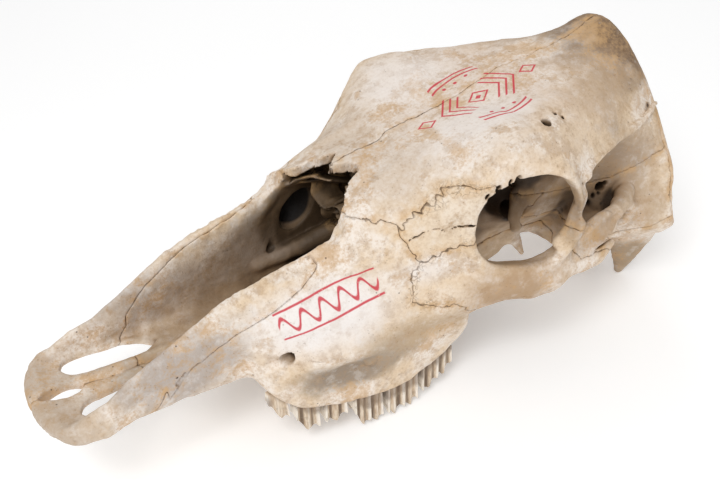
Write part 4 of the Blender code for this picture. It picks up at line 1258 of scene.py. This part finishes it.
# Tints of the bone: middle in mm, reach along x, y and z, colour and strength
TINTS = [
    ((323, 16, 173), (90, 90, 40), (0.66, 0.53, 0.44), 0.6),
    ((300, 40, 172), (60, 50, 26), PALE, 0.5),
    ((240, 20, 152), (40, 60, 30), (0.62, 0.52, 0.43), 0.7),
    ((330, 84, 160), (50, 26, 20), (0.74, 0.58, 0.42), 0.6),
    ((446, 14, 194), (70, 92, 60), (0.20, 0.125, 0.07), 1.0),
    ((400, 50, 178), (46, 50, 26), (0.52, 0.38, 0.26), 0.7),
    ((178, 52, 78), (64, 40, 28), WHITE, 0.9),
    ((194, 67, 33), (56, 26, 19), (0.30, 0.235, 0.175), 1.0),
    ((226, 70, 46), (40, 24, 22), GREY, 0.8),
    ((252, 74, 52), (44, 26, 20), (0.52, 0.38, 0.24), 0.8),
    ((262, 78, 78), (40, 24, 22), CREAM, 0.6),
    ((306, 88, 74), (48, 26, 30), (0.42, 0.27, 0.15), 0.9),
    ((374, 86, 92), (38, 18, 22), (0.46, 0.33, 0.22), 0.9),
    ((344, 93, 118), (16, 18, 36), BROWN, 0.75),
    ((400, 62, 120), (62, 36, 44), (0.40, 0.30, 0.215), 1.0),
    ((446, 54, 34), (26, 28, 46), (0.36, 0.26, 0.165), 0.95),
    ((430, 74, 88), (34, 20, 30), (0.48, 0.36, 0.25), 0.7),
    # These two tints are painted shade inside the eye socket.
    ((292, 50, 124), (34, 26, 32), (0.09, 0.055, 0.03), 0.95),
    ((334, 46, 108), (36, 26, 38), (0.33, 0.215, 0.125), 0.75),
    ((18, 20, 38), (34, 60, 28), (0.50, 0.40, 0.31), 0.85),
    ((96, 40, 62), (66, 14, 36), BLUISH, 0.9),
    ((70, 14, 40), (50, 24, 12), (0.40, 0.32, 0.24), 0.8),
    ((270, 74, 130), (44, 30, 26), (0.76, 0.64, 0.50), 0.7),
    ((456, 0, 110), (26, 84, 90), TAN, 0.8),
    ((300, 0, 30), (140, 60, 40), (0.42, 0.29, 0.17), 0.8),
]

# Tints of the teeth
TOOTH_DULL = (0.48, 0.34, 0.22)
TOOTH_BASE = (0.70, 0.58, 0.44)
TOOTH_RIDGE = (0.90, 0.84, 0.75)
TOOTH_GROOVE = (0.10, 0.055, 0.025)
TOOTH_STAIN = (0.30, 0.235, 0.17)
TOOTH_EDGE = (0.62, 0.50, 0.36)
TOOTH_NECK = (0.17, 0.105, 0.06)
TOOTH_FRONT = (0.10, 0.055, 0.035)

# The painted ornament: its middle on the forehead and its two ends on the cheek, in mm
FOREHEAD_ORNAMENT = (323, 14, 173)
CHEEK_ORNAMENT = ((152, 53, 76), (217, 60, 94))
CHEEK_WAVES = 5
PAINT_EDGE = 0.35


def line_of(distance, half_width):
    """1 on a painted line, from the distance to its middle."""
    return distance.under(half_width - PAINT_EDGE, half_width + PAINT_EDGE)


def forehead_ornament(f):
    """Nested chevrons and crescents on both sides of a row of diamonds, on top of the forehead."""
    middle_x, middle_y, _ = row_mm(FOREHEAD_ORNAMENT)
    u, v = f.x - middle_x, f.y - middle_y
    across = abs(v)
    along_middle = abs(u)
    radius = (u * u + v * v).root()
    marks = line_of(abs(along_middle * 0.8 + across - 6.0), 0.8)
    marks = marks.most((along_middle * 0.8 + across).under(1.6, 2.3))
    for k, reach in ((17.0, 15.0), (23.0, 18.0), (29.0, 21.0)):
        chevron = line_of(abs(along_middle + across * 0.75 - k), 0.85)
        marks = marks.most(chevron * across.under(reach * 0.75, reach * 0.75 + 0.8))
    for r in (32.0, 36.5):
        crescent = line_of(abs(radius - r), 0.8) * along_middle.under(18.5, 19.3)
        marks = marks.most(crescent)
    beat = abs(u).beat(4.5)
    dots = (beat * beat + (across - 26.0) * (across - 26.0)).root().under(1.0, 1.7)
    marks = marks.most(dots * along_middle.under(11.5, 12.0))
    tip = abs(along_middle - 41.0) * 0.7 + across
    marks = marks.most(line_of(abs(tip - 4.5), 0.75))
    return marks * f.z.over(150.0, 156.0)


def cheek_ornament(f):
    """A running wave between two straight lines, along the near cheek."""
    start, end = (row_mm(place) for place in CHEEK_ORNAMENT)
    run, rise = end[0] - start[0], end[2] - start[2]
    length = math.hypot(run, rise)
    c, s = run / length, rise / length
    dx, dz = f.x - start[0], f.z - start[2]
    u, v = dx * c + dz * s, dz * c - dx * s
    wave = v - (u * (2 * math.pi * CHEEK_WAVES / length)).sine() * 4.6
    marks = line_of(abs(wave) * 0.55, 0.75)
    for level in (-8.4, 8.4):
        marks = marks.most(line_of(abs(v - level), 0.65))
    marks = marks * u.over(-0.5, 0.5) * u.under(length - 0.5, length + 0.5)
    return marks * f.y.under(-44.0, -42.0)


def bone_finish():
    """Dry bone: stains by area, with painted shade among them deep in the eye socket, mottling, dust and
    painted shade in hollows, painted shade in the nose, the eye socket and the sinus, sutures, pores and the
    painted ornament.
    """
    f = Finish("weathered_bone")
    hollow, seam, thin = f.attribute("hollow"), f.attribute("seam"), f.attribute("thin")
    broad = f.noise(70, 4.0, 0.6, 3.1)
    patch = f.noise(26, 5.0, 0.62, 41.0)
    spots = f.noise(9, 5.0, 0.65, 17.0)
    grain = f.noise(2.2, 4.0, 0.7, 5.0)
    fibre = f.noise(1.3, 3.0, 0.6, 9.0, f.stretched(0.16, 0.7, 0.9))
    ragged = (patch - 0.5) * 1.4
    mottle = spots * 0.5 + patch * 0.35 + grain * 0.15
    colour = f.mix((broad * 0.5 + patch * 0.5).over(0.45, 0.55), CREAM, PALE)
    for place, radii, tint, strength in TINTS:
        colour = f.mix(f.near(place, radii, ragged) * strength, colour, tint)
    colour = f.mix(mottle.over(0.47, 0.60) * (0.5 + thin * 0.3), colour, TAN)
    colour = f.mix(mottle.under(0.38, 0.47) * 0.22, colour, WHITE)
    colour = f.mix((broad * 0.4 + grain * 0.2 + patch * 0.4).over(0.51, 0.60) * 0.5, colour, OCHRE)
    colour = f.mix(grain.over(0.42, 0.70) * 0.22, colour, TAN)
    cheek = f.near((186, 54, 76), (70, 44, 32), ragged * 0.7)
    cheek = cheek.most(f.near((250, 60, 96), (26, 30, 14), ragged))
    cheek = cheek.most(f.near((304, 44, 168), (56, 34, 30), ragged) * 0.75)
    colour = f.mix(cheek * 0.62, colour, CHEEK_WHITE)
    # Painted shade and dust: the deeper a place lies in a hollow, the darker brown it is, down to near black
    # in the deepest.
    inner = (0.25 + mottle * 0.9).least(1.0)
    colour = f.mix(hollow.over(0.12, 0.42) * 0.8 * inner, colour, INNER)
    colour = f.mix(hollow.over(0.36, 0.66) * 0.75, colour, BROWN)
    colour = f.mix(hollow.over(0.56, 0.86) * 0.95, colour, DARK)
    nose_depth = f.near((212, 22, 98), (62, 44, 50)) * hollow.over(0.15, 0.40)
    colour = f.mix(nose_depth * 0.65, colour, NOSE_SHADE)
    eye_depth = f.near((304, 46, 118), (50, 34, 42)) * hollow.over(0.10, 0.34)
    colour = f.mix(eye_depth * 0.75, colour, EYE_SHADE)
    # Painted shade: the inside of the sinus hole is made near black.
    sinus_shade = f.near((214, 54, 94), (20, 14, 22)).over(0.0, 0.3) * hollow.over(0.15, 0.3)
    halo = seam.under(0.3, 6.0) * spots.over(0.42, 0.60) * 0.45
    colour = f.mix(halo, colour, OCHRE)
    split = f.near((262, 0, 158), (75, 9, 40)).most(f.near((244, 66, 118), (50, 40, 34)) * 0.4)
    broken = (0.2 + spots.over(0.35, 0.6) * 0.5 + split * 0.5).least(1.0)
    line = seam.under(0.05, 0.45 + split * 0.35) * broken
    calm = 1 - f.near((405, 62, 112), (66, 44, 52)) * 0.85
    colour = f.mix(line * calm * 0.9, colour, CREVICE)
    lively = f.near((272, 74, 134), (44, 30, 34)).most(f.near((250, 74, 88), (40, 30, 26)))
    lace = abs(f.noise(3.6, 1.0, 0.5, 33.0) - 0.5).under(0.008, 0.035) * seam.under(2.2, 4.6) * lively
    colour = f.mix(lace * 0.5, colour, BROWN)
    pores = f.cells(2.4, 2.0).under(0.09, 0.18) * (spots.over(0.44, 0.58) * 0.7 + thin * 0.3)
    colour = f.mix(pores * 0.6, colour, BROWN)
    freckles = f.cells(8.0, 12.0).under(0.05, 0.09) * patch.over(0.46, 0.58)
    colour = f.mix(freckles * 0.7, colour, CREVICE)
    # Painted shade, near black, in the sinus hole.
    colour = f.mix(sinus_shade, colour, SINUS_SHADE)
    paint = forehead_ornament(f).most(cheek_ornament(f)) * (1.0 - grain.over(0.60, 0.70) * 0.8)
    colour = f.mix(paint * 0.93, colour, RED_PAINT)
    height = fibre * 0.6 + grain * 0.9 + spots * 0.9 - pores * 0.9 - line * 0.5 - freckles * 0.8 - lace * 0.9
    return f.done(colour, 0.55 + spots * 0.2, height, 0.0006, 0.6)


def tooth_finish():
    """Worn enamel: pale ridges, dark grooves and brown necks."""
    f = Finish("worn_tooth")
    rise, ridge, hollow = f.attribute("rise"), f.attribute("ridge"), f.attribute("hollow")
    streak = f.noise(1.2, 4.0, 0.65, 4.0, f.stretched(1.0, 1.0, 0.14))
    blotch = f.noise(5.0, 4.0, 0.6, 8.0)
    fine = f.noise(0.8, 3.0, 0.6, 2.0)
    colour = f.mix(streak.over(0.35, 0.65), TOOTH_DULL, TOOTH_BASE)
    colour = f.mix(ridge.over(1.2, 2.6) * (0.6 + streak * 0.4), colour, TOOTH_RIDGE)
    colour = f.mix(ridge.under(0.25, 1.2) * 0.9, colour, TOOTH_GROOVE)
    colour = f.mix(blotch.over(0.52, 0.66) * 0.45, colour, TOOTH_STAIN)
    colour = f.mix(rise.under(1.0, 4.0) * 0.3, colour, TOOTH_EDGE)
    colour = f.mix(rise.over(13.0, 18.0) * 0.6, colour, TOOTH_NECK)
    # Painted shade: darker where the tooth lies deep in the bone.
    colour = f.mix(hollow.over(0.1, 0.4) * 0.8, colour, DARK)
    colour = f.mix(f.near((141, 56, 18), (7, 12, 8)) * 0.85, colour, TOOTH_FRONT)
    height = streak * 0.8 + blotch * 0.4 + fine * 0.2
    return f.done(colour, 0.34 + blotch * 0.2, height, 0.0005, 0.6)


def dress(thing, material, *nodes):
    """Give a piece its finish and let it stand for CAD nodes."""
    thing.data.materials.clear()
    thing.data.materials.append(material)
    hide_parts(*nodes)
    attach(thing, "root")


BONE = bone_finish()
TOOTH = tooth_finish()
for name, thing in bones.items():
    dress(thing, BONE, name)
dress(make_scrolls(BONE), BONE, "ethmoid")
for side_name, thing in teeth.items():
    dress(thing, TOOTH, f"maxilla_{side_name}")


def make_floor():
    corners = np.array([(-1, -1, 0), (1, -1, 0), (1, 1, 0), (-1, 1, 0)], float)
    floor = fast_mesh("floor", corners * FLOOR_HALF, np.array([[0, 1, 2, 3]]))
    material = bpy.data.materials.new("pale_floor")
    material.use_nodes = True
    surface = material.node_tree.nodes["Principled BSDF"]
    surface.inputs["Base Color"].default_value = (0.90, 0.90, 0.90, 1)
    surface.inputs["Roughness"].default_value = 0.9
    surface.inputs["Emission Color"].default_value = (1, 1, 1, 1)
    surface.inputs["Emission Strength"].default_value = FLOOR_GLOW
    floor.data.materials.append(material)


def make_light(name, place, size, power):
    """A soft square light that faces the skull."""
    data = bpy.data.lights.new(name, "AREA")
    data.size = size
    data.energy = power
    lamp = bpy.data.objects.new(name, data)
    lamp.location = place
    lamp.rotation_euler = (Vector((0, 0, 0.1)) - Vector(place)).to_track_quat("-Z", "Y").to_euler()
    bpy.context.scene.collection.objects.link(lamp)


def make_camera():
    """The photo's view, set in skull axes and turned with the skull to where it rests."""
    data = bpy.data.cameras.new("camera")
    data.lens = CAMERA["lens"]
    data.sensor_width = 36
    data.shift_x, data.shift_y = CAMERA["shift"]
    (ct, st), (ch, sh) = turn_of(CAMERA["azimuth"]), turn_of(CAMERA["height"])
    back = np.array([st * ch, ct * ch, sh])
    right = np.array([ct, -st, 0])
    up = np.array([-st * sh, -ct * sh, ch])
    place = row_metres(np.array(CAMERA["target"]) + back * CAMERA["distance"])
    nought = row_metres(np.zeros(3))
    columns = [Vector((row_metres(axis) - nought) * 1000) for axis in (right, up, back)]
    camera = bpy.data.objects.new("camera", data)
    camera.rotation_mode = "QUATERNION"
    camera.rotation_quaternion = Matrix(columns).transposed().to_quaternion()
    camera.location = place
    bpy.context.scene.collection.objects.link(camera)
    bpy.context.scene.camera = camera


def make_sky():
    world = bpy.data.worlds.new("studio")
    world.use_nodes = True
    background = world.node_tree.nodes["Background"]
    background.inputs["Color"].default_value = (1, 1, 1, 1)
    background.inputs["Strength"].default_value = SKY_STRENGTH
    bpy.context.scene.world = world


make_floor()
for light in LIGHTS:
    make_light(*light)
make_camera()
make_sky()
bpy.context.scene.view_settings.view_transform = "Standard"
